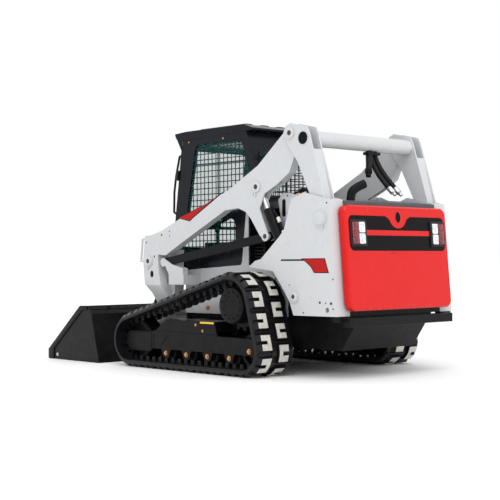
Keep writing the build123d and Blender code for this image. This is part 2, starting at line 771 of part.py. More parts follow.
# Quick coupler: ears on the pins, and a leaning frame against the bucket's back
coupler_half_width = leg_layer[1] + 10.0
coupler_plate = 12.0
coupler_z = (80.0, 430.0)
ear_plate = 10.0
ear_gap = 2.0
tilt_ear_gap = 4.0
tilt_ear_plate = 12.0
notch_place = (985.0, 380.0)
notch_size = (160.0, 60.0, 130.0)
ear_outline = (
    back_line(85, 1), back_line(290, 1), (bucket_pin[0] + 20, 240), (890, 205), (890, 165),
    (915, 145),
)
tilt_ear_outline = (
    back_line(260, 1), back_line(coupler_z[1], 1), (960, 400), (910, 385), (900, 355),
    (915, 325), (940, 310),
)
ears = (
    (leg_layer[0] - ear_gap, -ear_plate, ear_outline),
    (leg_layer[1] + ear_gap, ear_plate, ear_outline),
    (tilt_cylinder_y - tilt_rod_eye_width / 2 - tilt_ear_gap, -tilt_ear_plate, tilt_ear_outline),
    (tilt_cylinder_y + tilt_rod_eye_width / 2 + tilt_ear_gap, tilt_ear_plate, tilt_ear_outline),
)
with BuildPart() as coupler:
    extrude(side_view((back_line(coupler_z[0], seat_gap), back_line(coupler_z[1], seat_gap),
                       back_line(coupler_z[1], coupler_plate),
                       back_line(coupler_z[0], coupler_plate)), coupler_half_width),
            amount=coupler_half_width)
    with Locations((notch_place[0], tilt_cylinder_y, notch_place[1])):
        Box(*notch_size, mode=Mode.SUBTRACT)
    for y, plate, outline in ears:
        extrude(side_view(outline, max(y, y + plate)), amount=abs(plate))
    pin_start = leg_layer[0] - ear_gap - ear_plate
    pin_end = leg_layer[1] + ear_gap + ear_plate
    extrude(disc(bucket_pin, bucket_pin_radius, pin_end), amount=pin_end - pin_start)
    mirror(about=Plane.XZ)
write(coupler.part, "quick_coupler")

# Engine, plain
engine_place = (-1230.0, 740.0)
engine_size = (600.0, 560.0, 820.0)
engine_foot_places = (-1400.0, -1000.0)
engine_foot = (80.0, 640.0)
engine_bottom = engine_place[1] - engine_size[2] / 2
tub_floor = belly_height + frame_plate
with BuildPart() as engine:
    with Locations((engine_place[0], 0, engine_place[1])):
        Box(*engine_size)
    for x in engine_foot_places:
        with Locations((x, 0, (tub_floor + engine_bottom + over_cut) / 2)):
            Box(engine_foot[0], engine_foot[1], engine_bottom + over_cut - tub_floor)
write(engine.part, "engine_block")

# Engine cover, and the exhaust elbow that stands in it
cover_outline = (
    (-1640, cover_bottom), (bulkhead_x + bulkhead_plate / 2, cover_bottom),
    (bulkhead_x + bulkhead_plate / 2, 1360), (-1300, 1390), (-1640, 1350),
)
cover_half_width = tower_inner[0] - seat_gap
exhaust_radius = 34.0
exhaust_route = (
    (-1551.0, 374.0, cover_bottom - 20), (-1551.0, 374.0, 1400.0), (-1565.0, 345.0, 1455.0),
    (-1600.0, 265.0, 1490.0),
)
with BuildPart() as engine_cover:
    extrude(side_view(cover_outline, cover_half_width), amount=2 * cover_half_width)
    with Locations(exhaust_route[0]):
        Cylinder(exhaust_radius + seat_gap, 4 * exhaust_radius, mode=Mode.SUBTRACT)
write(engine_cover.part, "engine_cover")
write(bar(exhaust_route, exhaust_radius), "exhaust_elbow")

# Bulkhead behind the cab, wider above the side panels
with BuildPart() as bulkhead:
    with Locations((bulkhead_x, 0, (frame_top + seat_gap + bulkhead_shoulder + seat_gap) / 2)):
        Box(bulkhead_plate, 2 * body_half_width, bulkhead_shoulder - frame_top)
    with Locations((bulkhead_x, 0, (bulkhead_shoulder + cover_bottom) / 2)):
        Box(bulkhead_plate, 2 * cover_half_width,
            cover_bottom - bulkhead_shoulder - 2 * seat_gap)
write(bulkhead.part, "bulkhead")

# Slatted side grilles between the bulkhead and the towers
grille_y = 500.0
grille_plate = 6.0
grille_x = (-740.0, bulkhead_x - bulkhead_plate / 2 - seat_gap)
grille_z = (bulkhead_shoulder + seat_gap, 1049.0)
grille_slots = 6
slot_height = 14.0
with BuildPart() as grilles:
    with BuildSketch(Plane.XZ.offset(-(grille_y + grille_plate))):
        with Locations((sum(grille_x) / 2, sum(grille_z) / 2)):
            Rectangle(span(grille_x), span(grille_z))
            with GridLocations(0, span(grille_z) / (grille_slots + 1), 1, grille_slots):
                Rectangle(span(grille_x) - 30, slot_height, mode=Mode.SUBTRACT)
    extrude(amount=grille_plate)
    mirror(about=Plane.XZ)
write(grilles.part, "side_grilles")

# Bumper
bumper_bottom = 403.0
bumper_height = 70.0
bumper_depth = 68.0
bumper_lug_length = 72.0
bumper_lug_width = 120.0
bumper_lug_height = 45.0
bumper_lug_z = 460.0
with BuildPart() as bumper:
    with Locations((frame_rear - seat_gap - bumper_depth / 2, 0,
                    bumper_bottom + bumper_height / 2)):
        Box(bumper_depth, 2 * bumper_half_width, bumper_height)
    with Locations((frame_rear - seat_gap + (bumper_lug_length - 20) / 2, bumper_half_width - 7,
                    bumper_lug_z)):
        Box(bumper_lug_length, bumper_lug_width, bumper_lug_height)
    mirror(about=Plane.XZ)
write(bumper.part, "rear_bumper")

# Tailgate with a recess for its black panel
gate_panel = (1135.0, 268.0)
gate_panel_height = 585.0
gate_panel_corner = 40.0
gate_panel_depth = 6.0
with BuildPart() as tailgate:
    with BuildSketch(tailgate_plane):
        with Locations((0, tailgate_height / 2)):
            RectangleRounded(2 * tailgate_half_width, tailgate_height, tailgate_corner)
    extrude(amount=-tailgate_thickness)
    outward = Axis(tailgate_plane.origin, tailgate_plane.z_dir)
    chamfer(tailgate.faces().sort_by(outward)[-1].edges(), tailgate_bevel)
    with BuildSketch(tailgate_plane):
        with Locations((0, gate_panel_height)):
            RectangleRounded(*gate_panel, gate_panel_corner)
    extrude(amount=-gate_panel_depth, mode=Mode.SUBTRACT)
    for height in gate_hinge_heights:
        with BuildSketch(gate_section(height + gate_knuckle_gap)):
            Circle(gate_knuckle_radius)
            with Locations((-gate_knuckle_radius, 0)):
                Rectangle(2 * gate_knuckle_radius, 2 * gate_knuckle_radius)
            Circle(gate_pin_radius + running_clearance, mode=Mode.SUBTRACT)
        extrude(amount=knuckle_length)
write(tailgate.part, "tailgate")

# Black panel and lamps let into the tailgate
lamp_across = 465.0
lamp_size = (180.0, 200.0)
lamp_corner = 20.0
lamp_height = 14.0
with BuildPart() as panel:
    with BuildSketch(tailgate_plane):
        with Locations((0, gate_panel_height)):
            RectangleRounded(gate_panel[0] - 2 * seat_gap, gate_panel[1] - 2 * seat_gap,
                             gate_panel_corner - seat_gap)
    extrude(amount=seat_gap - gate_panel_depth)
write(panel.part, "tailgate_panel")
with BuildPart() as tail_lamps:
    with BuildSketch(tailgate_plane.offset(seat_gap)):
        with Locations((-lamp_across, gate_panel_height), (lamp_across, gate_panel_height)):
            RectangleRounded(*lamp_size, lamp_corner)
    extrude(amount=lamp_height)
write(tail_lamps.part, "tail_lamps")

# Door plane, leaning with the front posts, and its hinge on the right-hand post
post_base = Vector(post_foot[0], 0, post_foot[1])
post = Vector(post_head[0] - post_foot[0], 0, post_head[1] - post_foot[1]).normalized()
door_out = Vector(post.Z, 0, -post.X)
door_plane = Plane(
    origin=post_base + post * ((door_bottom - post_foot[1]) / post.Z) + door_out * door_gap,
    x_dir=(0, 1, 0),
    z_dir=door_out,
)
door_height = (door_top - door_bottom) / post.Z
door_corner = 40.0
door_hinge_gap = 4.0
door_hinge_across = -door_half_width - door_hinge_gap
door_knuckle_radius = 7.0
door_pin_radius = 4.0
door_hinge_out = door_thickness + door_knuckle_radius + 1.0
door_hinge_heights = (130.0, 800.0)
door_socket = 30.0
door_web = 6.0


def door_section(height):
    """The plane square to the door's hinge, at a height up its post."""
    return Plane(
        origin=door_plane.from_local_coords((door_hinge_across, height, door_hinge_out)),
        x_dir=(0, 1, 0),
        z_dir=door_plane.y_dir,
    )


# Cab
cab_outline = (
    (cab_rear, cab_floor_z), (500, cab_floor_z), post_foot, post_head, cab_top_rear,
    (cab_rear, 1600),
)
cab_inside = (
    (cab_rear + cab_wall, cab_floor_z + cab_wall), (463, cab_floor_z + cab_wall), (497, 930),
    (444, 1290), (350, cab_top - 63), (-410, cab_top - 40), (cab_rear + cab_wall, 1590),
)
side_window = (
    (209, cab_top - 70), (-380, cab_top - 70), (-470, 1685), (-450, 1320), (340, 1290),
)
lower_window = ((-300, 990), (450, 990), (420, 1240), (-300, 1260))
front_opening_x = (290.0, 710.0)
front_opening_z = (980.0, cab_top - 85.0)
front_post_width = 45.0
rear_opening_z = (1190.0, 1810.0)
rear_post_width = 70.0
with BuildPart() as cab:
    extrude(side_view(cab_outline, body_half_width), amount=2 * body_half_width)
    extrude(side_view(cab_inside, body_half_width - cab_wall),
            amount=2 * (body_half_width - cab_wall), mode=Mode.SUBTRACT)
    for window in (side_window, lower_window):
        extrude(rounded_view(window, body_half_width + over_cut, window_corner),
                amount=2 * (body_half_width + over_cut), mode=Mode.SUBTRACT)
    with Locations((sum(front_opening_x) / 2, 0, sum(front_opening_z) / 2)):
        Box(span(front_opening_x), 2 * (body_half_width - front_post_width),
            span(front_opening_z), mode=Mode.SUBTRACT)
    with Locations((cab_rear, 0, sum(rear_opening_z) / 2)):
        Box(4 * cab_wall, 2 * (body_half_width - rear_post_width), span(rear_opening_z),
            mode=Mode.SUBTRACT)
    for height in door_hinge_heights:
        with BuildSketch(door_section(height - door_socket)):
            Circle(door_knuckle_radius)
            with Locations((-door_web / 3, door_hinge_out / 2 + door_web)):
                Rectangle(door_web, door_hinge_out + 2 * door_web)
        extrude(amount=door_socket)
        with BuildSketch(door_section(height - door_socket / 3)):
            Circle(door_pin_radius)
        extrude(amount=knuckle_length + 2 * door_web)
write(cab.part, "cab_frame")

# Roof: a shell with fore-and-aft ribs, and cheeks beside the door's upper corners
roof_thickness = 58.0
roof_deck = cab_top + roof_thickness
roof_outline = (
    (-513, cab_top + 5), (cab_top_rear[0], cab_top_rear[1] + seat_gap),
    (post_head[0], post_head[1] + seat_gap), (430, cab_top - 19), (478, cab_top),
    (499, roof_deck - 11), (348, roof_deck), (-407, roof_deck), (-513, roof_deck - 35),
)
cheek_outline = (
    (405, cab_top - 113), (499, roof_deck - 11), (430, roof_deck - 7), (392, cab_top - 17),
)
cheek_plate = 9.0
rib_places = (-288.0, -96.0, 96.0, 288.0)
rib_size = (620.0, 110.0)
rib_x = -30.0
rib_height = 22.0
rib_taper = 40.0
with BuildPart() as roof:
    extrude(side_view(roof_outline, body_half_width), amount=2 * body_half_width)
    for y in (body_half_width, -body_half_width + cheek_plate):
        extrude(side_view(cheek_outline, y), amount=cheek_plate)
    with BuildSketch(Plane.XY.offset(roof_deck)):
        for y in rib_places:
            with Locations((rib_x, y)):
                Rectangle(*rib_size)
    extrude(amount=rib_height, taper=rib_taper)
write(roof.part, "cab_roof")

# Cab door with its grab rail
rail_radius = 10.0
rail_across = door_half_width - 20.0
rail_up = (345.0, 890.0)
rail_out = (14.0, 95.0)
rail_bend = 200.0
with BuildPart() as door:
    with BuildSketch(door_plane):
        with Locations((0, door_height / 2)):
            RectangleRounded(2 * door_half_width, door_height, door_corner)
            RectangleRounded(2 * (door_half_width - door_rim), door_height - 2 * door_rim,
                             door_corner, mode=Mode.SUBTRACT)
    extrude(amount=door_thickness)
    for height in door_hinge_heights:
        with BuildSketch(door_section(height + gate_knuckle_gap)):
            Circle(door_knuckle_radius)
            with Locations((9, 6)):
                Rectangle(18, 14)
            Circle(door_pin_radius + running_clearance, mode=Mode.SUBTRACT)
        extrude(amount=knuckle_length)
    rail_points = (
        (rail_across, rail_up[0], rail_out[0]), (rail_across, rail_up[0] + 25, rail_out[1] - 20),
        (rail_across, rail_up[0] + rail_bend, rail_out[1]),
        (rail_across, rail_up[1] - rail_bend, rail_out[1] - 5),
        (rail_across, rail_up[1] - 25, rail_out[1] - 30), (rail_across, rail_up[1], rail_out[0]),
    )
    add(bar([door_plane.from_local_coords(point) for point in rail_points], rail_radius))
write(door.part, "cab_door")

with BuildPart() as door_glass:
    with BuildSketch(door_plane.offset((door_thickness - glass_thickness) / 2)):
        with Locations((0, door_height / 2)):
            RectangleRounded(2 * (door_half_width - door_rim - seat_gap),
                             door_height - 2 * (door_rim + seat_gap), door_corner - seat_gap)
    extrude(amount=glass_thickness)
write(door_glass.part, "door_glass")

# Seat on its pedestal
cab_floor_top = cab_floor_z + cab_wall
cushion_place = (-150.0, 960.0)
cushion_size = (430.0, 440.0, 120.0)
backrest_place = (-330.0, 1250.0)
backrest_size = (110.0, 420.0, 460.0)
pedestal_size = (300.0, 300.0)
cushion_bottom = cushion_place[1] - cushion_size[2] / 2
with BuildPart() as seat:
    with Locations((cushion_place[0], 0, cushion_place[1])):
        Box(*cushion_size)
    with Locations((backrest_place[0], 0, backrest_place[1])):
        Box(*backrest_size)
    with Locations((cushion_place[0] - 30, 0, (cab_floor_top + seat_gap + cushion_bottom) / 2)):
        Box(*pedestal_size, cushion_bottom - cab_floor_top - seat_gap)
write(seat.part, "seat")

# Seat bar, with its pivots on the cab's side walls
seat_bar_radius = 14.0
bar_pivot = (-330.0, 1330.0)
bar_front = (120.0, 1190.0)
bar_end_y = body_half_width - cab_wall - seat_gap
bar_half_width = bar_end_y - 40.0
write(bar(((bar_pivot[0], bar_end_y, bar_pivot[1]), (bar_pivot[0], bar_half_width, bar_pivot[1]),
           (bar_front[0], bar_half_width, bar_front[1]),
           (bar_front[0], -bar_half_width, bar_front[1]),
           (bar_pivot[0], -bar_half_width, bar_pivot[1]), (bar_pivot[0], -bar_end_y, bar_pivot[1])),
          seat_bar_radius), "seat_bar")

# Control consoles beside the seat, each with a lever
console_y = body_half_width - 120.0
console_place = (-40.0, console_y)
console_size = (420.0, 110.0)
console_top = 1062.0
lever_place = (60.0, console_y)
lever_radius = 16.0
lever_top = 1200.0
grip_size = (44.0, 40.0, 60.0)
with BuildPart() as consoles:
    with Locations((*console_place, (cab_floor_top + seat_gap + console_top) / 2)):
        Box(*console_size, console_top - cab_floor_top - seat_gap)
    with Locations((*lever_place, (console_top + lever_top) / 2)):
        Cylinder(lever_radius, lever_top - console_top)
    with Locations((*lever_place, lever_top + grip_size[2] / 3)):
        Box(*grip_size)
    mirror(about=Plane.XZ)
write(consoles.part, "control_consoles")

# Side window panes, and the barred screens inside the upper ones
pane_y = body_half_width - 8.0
with BuildPart() as panes:
    for window in (side_window, lower_window):
        extrude(rounded_view(window, pane_y, window_corner, seat_gap), amount=glass_thickness)
    mirror(about=Plane.XZ)
write(panes.part, "side_windows")

screen_y = pane_y - 2 * glass_thickness
screen_plate = 5.0
screen_rim = 18.0
screen_bar = 12.0
screen_post_x = -60.0
screen_rail_z = 1742.0
with BuildPart() as screens:
    extrude(rounded_view(side_window, screen_y, window_corner, seat_gap), amount=screen_plate)
    with BuildSketch(Plane.XZ.offset(-(screen_y + over_cut))) as openings:
        add(rounded_view(side_window, 0, window_corner, screen_rim))
        with Locations((screen_post_x, screen_rail_z)):
            Rectangle(screen_bar, cab_top, mode=Mode.SUBTRACT)
            Rectangle(cab_top, screen_bar, mode=Mode.SUBTRACT)
    extrude(amount=screen_plate + 2 * over_cut, mode=Mode.SUBTRACT)
    mirror(about=Plane.XZ)
write(screens.part, "side_screens")

# Rear window
with BuildPart() as rear_window:
    with Locations((cab_rear + cab_wall / 2, 0, sum(rear_opening_z) / 2)):
        Box(glass_thickness, 2 * (body_half_width - rear_post_width - seat_gap),
            span(rear_opening_z) - 2 * seat_gap)
write(rear_window.part, "rear_window")

# Work lamps on the roof's front edge
work_lamp_size = (40.0, 110.0, 42.0)
work_lamp_place = (514.0, body_half_width - 130.0, cab_top + 29.0)
with BuildPart() as work_lamps:
    with Locations(work_lamp_place):
        Box(*work_lamp_size)
    extrude(side_view(roof_outline, body_half_width), amount=2 * body_half_width,
            mode=Mode.SUBTRACT)
    mirror(about=Plane.XZ)
write(work_lamps.part, "work_lamps")
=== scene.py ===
"""Compact track loader: paint, rubber, glass, lamps, hoses and small fittings over the machine's CAD frame.

Metres, +X forward, +Y to the machine's left, +Z up, origin on the ground under the middle of the machine.
"""

import math

import bmesh
import bpy
from bpy.props import FloatProperty, FloatVectorProperty, PointerProperty
from mathutils import Matrix, Vector


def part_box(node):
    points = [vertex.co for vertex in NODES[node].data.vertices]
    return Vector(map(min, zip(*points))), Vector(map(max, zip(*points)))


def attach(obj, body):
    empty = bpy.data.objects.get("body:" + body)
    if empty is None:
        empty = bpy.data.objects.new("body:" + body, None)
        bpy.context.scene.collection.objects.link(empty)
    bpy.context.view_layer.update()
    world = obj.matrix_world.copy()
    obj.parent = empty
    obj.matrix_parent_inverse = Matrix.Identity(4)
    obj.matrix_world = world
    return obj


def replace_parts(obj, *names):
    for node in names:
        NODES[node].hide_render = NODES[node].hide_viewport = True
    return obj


bl_info = {
    "name": "Compact Track Loader Finish",
    "version": (1, 0, 0),
    "blender": (4, 5, 0),
    "location": "View3D > Sidebar > Loader",
    "description": "Paints and dresses a compact track loader over its CAD frame",
    "category": "Object",
}

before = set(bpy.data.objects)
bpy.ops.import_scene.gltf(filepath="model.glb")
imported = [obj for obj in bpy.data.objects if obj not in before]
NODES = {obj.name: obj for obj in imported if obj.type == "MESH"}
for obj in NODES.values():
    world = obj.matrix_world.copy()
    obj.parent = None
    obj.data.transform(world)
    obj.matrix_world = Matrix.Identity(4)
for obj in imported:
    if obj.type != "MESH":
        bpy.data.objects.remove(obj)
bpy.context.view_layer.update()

# Places of the pins in the XZ plane
PINS = {
    "link_foot": (-1.536, 1.216),
    "link_top": (-1.201, 1.885),
    "arm_lug": (-0.899, 1.094),
    "cylinder_base": (-1.261, 0.625),
    "cylinder_rod": (-0.801, 1.490),
    "tilt_top": (0.590, 0.904),
}
CROSS_TUBE = (-1.341, 1.836)

# Outer faces of the linkage's layers, distances from the machine's middle
ARM_FACE = 0.654
TOWER_FACE = 0.692
LINK_FACE = 0.673
PANEL_FACE = 0.4423
HOOD_FACE = 0.5340
FRAME_FACE = 0.883
BUCKET_SIDE = 0.9395
FILM = 0.0008

# Pin bosses: pin, radius, and where they begin and end past the face that carries them
TOWER_BOSSES = (("link_foot", 0.050, -0.001, 0.022), ("cylinder_base", 0.036, 0.012, 0.020))
ARM_BOSSES = (
    ("cylinder_rod", 0.046, -0.001, 0.012),
    ("arm_lug", 0.040, -0.001, 0.006),
    ("tilt_top", 0.044, 0.006, 0.014),
)

# Screws on the towers and side panels: x, z and radius; and the side panels' clamp bolts
TOWER_MARKS = (
    (-1.051, 0.760, 0.007), (-1.202, 0.713, 0.005), (-1.66, 0.76, 0.006), (-1.66, 0.54, 0.006),
    (-1.35, 0.505, 0.006), (-1.525, 0.585, 0.009), (-1.585, 0.583, 0.005), (-1.640, 0.580, 0.010),
    (-1.60, 1.33, 0.006),
)
PANEL_MARKS = ((0.317, 0.715, 0.007), (0.262, 0.735, 0.007), (-0.504, 1.188, 0.008))
PANEL_BOLTS = ((0.306, 0.508), (0.039, 0.504))

# Outlines in XZ: the stripes on tower and arm, and the hood's side panel
STRIPE_LINE = ((-1.424, 0.899), (-1.112, 0.899), (-1.112, 0.911), (-1.424, 0.911))
STRIPE_EDGE = (
    (-1.330, 0.917), (-1.580, 0.917), (-1.620, 0.806), (-1.466, 0.806), (-1.434, 0.850), (-1.394, 0.880),
)
STRIPE_BLOCK = (
    (-1.345, 0.911), (-1.575, 0.911), (-1.611, 0.812), (-1.471, 0.812), (-1.439, 0.856), (-1.401, 0.885),
)
FLASH_EDGE = ((0.190, 1.272), (0.026, 1.238), (-0.014, 1.264), (-0.452, 1.492), (-0.190, 1.380))
FLASH = ((0.168, 1.274), (0.030, 1.245), (-0.008, 1.271), (-0.360, 1.454), (-0.180, 1.370))
HOOD_OUTLINE = (
    (-1.250, 1.340), (-1.200, 1.110), (-1.000, 0.990), (-0.965, 1.200), (-0.930, 1.385), (-0.985, 1.438),
    (-1.080, 1.432), (-1.200, 1.385),
)

# Holes in the arms, each drawn as a black oval of painted shade: width, height and centre
ARM_HOLES = (
    (0.028, 0.034, (0.628, 0.898)), (0.014, 0.016, (0.628, 1.069)), (0.018, 0.020, (0.409, 1.132)),
    (0.044, 0.060, (0.548, 0.790)), (0.012, 0.012, (0.300, 1.120)), (0.012, 0.012, (0.302, 1.160)),
    (0.010, 0.010, (-0.766, 1.432)), (0.016, 0.018, (0.512, 0.945)),
)

# Pipes: the valve pipes' x, y and top; the lift cylinder's pipe and fittings, as distances along the
# cylinder from its base pin and behind it; the exhaust's route
VALVE_PIPES = (
    (-1.010, 0.440, 1.452), (-1.050, 0.420, 1.474), (-1.095, 0.440, 1.462), (-1.140, 0.420, 1.470),
    (-1.180, 0.440, 1.448),
)
CYLINDER_PIPE = (
    (0.300, 0.040), (0.330, 0.062), (0.420, 0.064), (0.600, 0.064), (0.700, 0.062), (0.735, 0.040),
)
CYLINDER_FITTINGS = ((0.500, 0.545), (0.620, 0.665))
EXHAUST_ROUTE = (
    (-1.551, 0.374, 1.300), (-1.551, 0.374, 1.400), (-1.565, 0.345, 1.455), (-1.600, 0.265, 1.490),
)

# The tailgate's plane with its band, key hole and screws, and the cab door's plane
GATE_LEAN = math.atan2(0.070, 0.795)
GATE_FOOT = Vector((-1.7655, 0.0, 0.523))
GATE_BAND = 0.585
KEY_HOLE = 0.712
GATE_SCREWS = ((-0.115, 0.432), (-0.085, 0.432), (-0.055, 0.432), (-0.060, 0.772), (0.050, 0.768))
DOOR_FOOT = Vector((0.535, 0.0, 0.916))
DOOR_LEAN = (-0.150, 1.044)
DOOR_RISE = 0.049
DOOR_PROUD = 0.003

# The belt runs round the rear idler, the front idler and the sprocket: centre in XZ, and radius
WHEELS = (((-0.951, 0.199), 0.141), ((0.494, 0.230), 0.172), ((-0.786, 0.552), 0.207))
BELT = 0.030
BELT_SECTION = (
    (0.565, -0.0297), (0.965, -0.0297), (0.965, -0.009), (0.958, 0.0), (0.572, 0.0), (0.565, -0.009),
)

# The tread's lugs: their sizes, the closed end, slot's end and open end across the belt, and where they start
LUGS = 26
LUG_ROOT = -0.003
LUG_HEIGHT = 0.028
LUG_HALF = 0.066
LUG_SLOT = 0.011
OUTER_LUG = (0.822, 0.866, 0.958)
INNER_LUG = (0.748, 0.706, 0.612)
OUTER_PHASE = 0.84
INNER_PHASE = 0.34

# Ridges, cleats and guide teeth: length, the two ends across the belt, and the two heights out of it
OUTER_RIDGE = (0.020, 0.800, 0.950, -0.002, 0.009)
INNER_RIDGE = (0.020, 0.580, 0.770, -0.002, 0.009)
CLEAT = (0.050, 0.760, 0.810, -0.002, 0.012)
GUIDES = ((0.046, 0.843, 0.864, -0.028, -0.064), (0.046, 0.666, 0.687, -0.028, -0.064))

# Wheels: radii, the axles' ends, and sections as radius and distance from the machine's middle
FRONT_IDLER = 0.1715
REAR_IDLER = 0.1405
AXLE = (0.648, 0.882)
ROLLERS = (-0.720, -0.456, -0.192, 0.072)
ROLLER_HEIGHT = 0.1333
ROLLER_PROFILE = (
    (0.0, 0.840), (0.028, 0.840), (0.032, 0.836), (0.034, 0.828), (0.054, 0.828), (0.058, 0.838),
    (0.0745, 0.834), (0.0745, 0.812), (0.066, 0.806), (0.066, 0.724), (0.0745, 0.718), (0.0745, 0.696),
    (0.060, 0.690), (0.0, 0.690),
)
HUB_PROFILE = (
    (0.0, 0.919), (0.076, 0.919), (0.080, 0.923), (0.132, 0.924), (0.138, 0.921), (0.141, 0.915),
    (0.141, 0.800), (0.150, 0.795), (0.150, 0.735), (0.120, 0.730), (0.120, 0.4431), (0.0, 0.4431),
)
HUB_BOLTS = 12
SPROCKET_TEETH = 15
TOOTH = ((0.176, -6.5), (0.205, -4.2), (0.205, 4.2), (0.176, 6.5))

# The track frames' weld seams, yellow plate and small bolts, in XZ
FRAME_WELDS = (
    ((0.268, 0.300), (0.268, 0.155)), ((0.238, 0.298), (0.238, 0.168)), ((0.041, 0.282), (0.150, 0.190)),
    ((0.585, 0.298), (0.290, 0.300)), ((0.280, 0.150), (0.560, 0.150)), ((-0.560, 0.312), (0.200, 0.318)),
)
FRAME_PLATE = ((-0.369, 0.396), (-0.369, 0.411), (-0.535, 0.411), (-0.535, 0.396))
FRAME_BOLTS = ((-0.314, 0.383), (-0.400, 0.337))

# Openings of the wire screens, in XZ for the sides and YZ for the rear; and the cab frame's screws
UPPER_WINDOW = [(0.199, 1.905), (-0.370, 1.905), (-0.455, 1.688), (-0.437, 1.335), (0.325, 1.305)]
LOWER_WINDOW = [(-0.288, 1.002), (0.436, 1.002), (0.408, 1.228), (-0.288, 1.248)]
REAR_WINDOW = [(-0.352, 1.200), (0.352, 1.200), (0.352, 1.800), (-0.352, 1.800)]
CAB_SCREWS = ((0.300, 1.945), (-0.150, 1.945), (-0.490, 1.200), (0.380, 1.270))

# The wear strip along the bucket's side plate, in XZ
WEAR_STRIP = (
    (1.742, 0.006), (1.742, 0.090), (1.230, 0.504), (1.125, 0.506), (1.118, 0.470), (1.200, 0.462),
    (1.655, 0.094), (1.655, 0.006),
)

# The two lift hoses under the cross tube and the elbow beside them
HOSE_ROUTES = (
    ((-1.341, -0.095, 1.778), (-1.347, -0.095, 1.640), (-1.548, -0.130, 1.440)),
    ((-1.341, -0.150, 1.778), (-1.347, -0.150, 1.660), (-1.550, -0.203, 1.440)),
)
HOSE_ELBOW = (
    (-1.350, -0.070, 1.786), (-1.360, -0.060, 1.720), (-1.385, -0.035, 1.660), (-1.400, -0.012, 1.610),
)
HOSE_RADIUS = 0.020
HOSE_LENGTHS = (0.406, 0.407)
SIDES = (("left", 1), ("right", -1))

# The stage: half the floor's size, softboxes as name, place, aim, diameter and power, and the camera
FLOOR_HALF = 200.0
SOFTBOXES = (
    ("left_softbox", (-3.0, 6.5, 3.5), (-0.3, 0.2, 0.9), 3.0, 40.0),
    ("rear_softbox", (-8.0, -2.5, 3.5), (-1.2, 0.0, 1.0), 3.0, 60.0),
)
CAMERA_PLACE = (-7.574, 7.034, 0.898)
CAMERA_HEADING = math.radians(42.95)
CAMERA_PITCH = math.radians(0.55)
CAMERA_ROLL = math.radians(-0.31)
CAMERA_LENS = 84.17

# A slot name for each material, looked up for a piece unless it names its own
SLOTS = {
    "white": "white_paint", "red": "red_paint", "decal_red": "red_paint", "decal_black": "black_paint",
    "black": "black_paint", "panel_black": "black_paint", "cab_black": "cab_black", "bucket": "black_paint",
    "worn_steel": "steel", "chrome": "chrome", "bolt": "steel", "pin": "steel", "cast": "black_paint",
    "rubber": "rubber", "hose": "black_paint", "plastic": "plastic", "screen_grey": "black_paint",
    "vinyl": "seat_vinyl", "yellow": "plastic", "ivory": "steel", "silver": "steel", "wire": "black_paint",
    "red_lens": "red_lens", "clear_lens": "clear_lens",
}


def gate_matrix():
    """Local x across to the machine's right, y up the tailgate, z out of its rear face."""
    up = Vector((math.sin(GATE_LEAN), 0, math.cos(GATE_LEAN)))
    across = Vector((0, -1, 0))
    matrix = Matrix((across, up, across.cross(up))).transposed().to_4x4()
    matrix.translation = GATE_FOOT
    return matrix


def door_matrix():
    """Local x across to the machine's left, y up the cab door, z out of its front face."""
    up = Vector((DOOR_LEAN[0], 0, DOOR_LEAN[1])).normalized()
    across = Vector((0, 1, 0))
    out = across.cross(up)
    matrix = Matrix((across, up, out)).transposed().to_4x4()
    matrix.translation = DOOR_FOOT + up * (DOOR_RISE / up.z) + out * DOOR_PROUD
    return matrix


def side_matrix(face, side=1):
    """Local x forward, local y up, local z out of the machine's side at a distance from its middle."""
    matrix = Matrix(((1, 0, 0), (0, 0, side), (0, 1, 0))).to_4x4()
    matrix.translation = Vector((0, side * face, 0))
    return matrix


def start_material(name):
    """A new material with its node tree, its shader and the object's own coordinates."""
    material = bpy.data.materials.new(name)
    material.use_nodes = True
    tree = material.node_tree
    shader = tree.nodes["Principled BSDF"]
    coordinates = tree.nodes.new("ShaderNodeTexCoord")
    return material, tree, shader, coordinates.outputs["Object"]


def noise(tree, place, scale, detail=4.0, roughness=0.55):
    node = tree.nodes.new("ShaderNodeTexNoise")
    node.inputs["Scale"].default_value = scale
    node.inputs["Detail"].default_value = detail
    node.inputs["Roughness"].default_value = roughness
    tree.links.new(place, node.inputs["Vector"])
    return node.outputs["Fac"]


def remap(tree, value, low, high, to_low, to_high):
    node = tree.nodes.new("ShaderNodeMapRange")
    for socket, number in zip(("From Min", "From Max", "To Min", "To Max"), (low, high, to_low, to_high)):
        node.inputs[socket].default_value = number
    tree.links.new(value, node.inputs["Value"])
    return node.outputs["Result"]


def blend_colour(tree, factor, first, second):
    node = tree.nodes.new("ShaderNodeMix")
    node.data_type = "RGBA"
    tree.links.new(factor, node.inputs["Factor"])
    for socket, colour in ((node.inputs[6], first), (node.inputs[7], second)):
        if isinstance(colour, bpy.types.NodeSocket):
            tree.links.new(colour, socket)
        else:
            socket.default_value = (*colour[:3], 1.0)
    return node.outputs[2]


def times(tree, first, second):
    node = tree.nodes.new("ShaderNodeMath")
    node.operation = "MULTIPLY"
    for socket, value in zip(node.inputs, (first, second)):
        if isinstance(value, bpy.types.NodeSocket):
            tree.links.new(value, socket)
        else:
            socket.default_value = value
    return node.outputs[0]


def add_bump(tree, shader, height, strength, distance):
    bump = tree.nodes.new("ShaderNodeBump")
    bump.inputs["Strength"].default_value = strength
    bump.inputs["Distance"].default_value = distance
    tree.links.new(height, bump.inputs["Height"])
    tree.links.new(bump.outputs["Normal"], shader.inputs["Normal"])


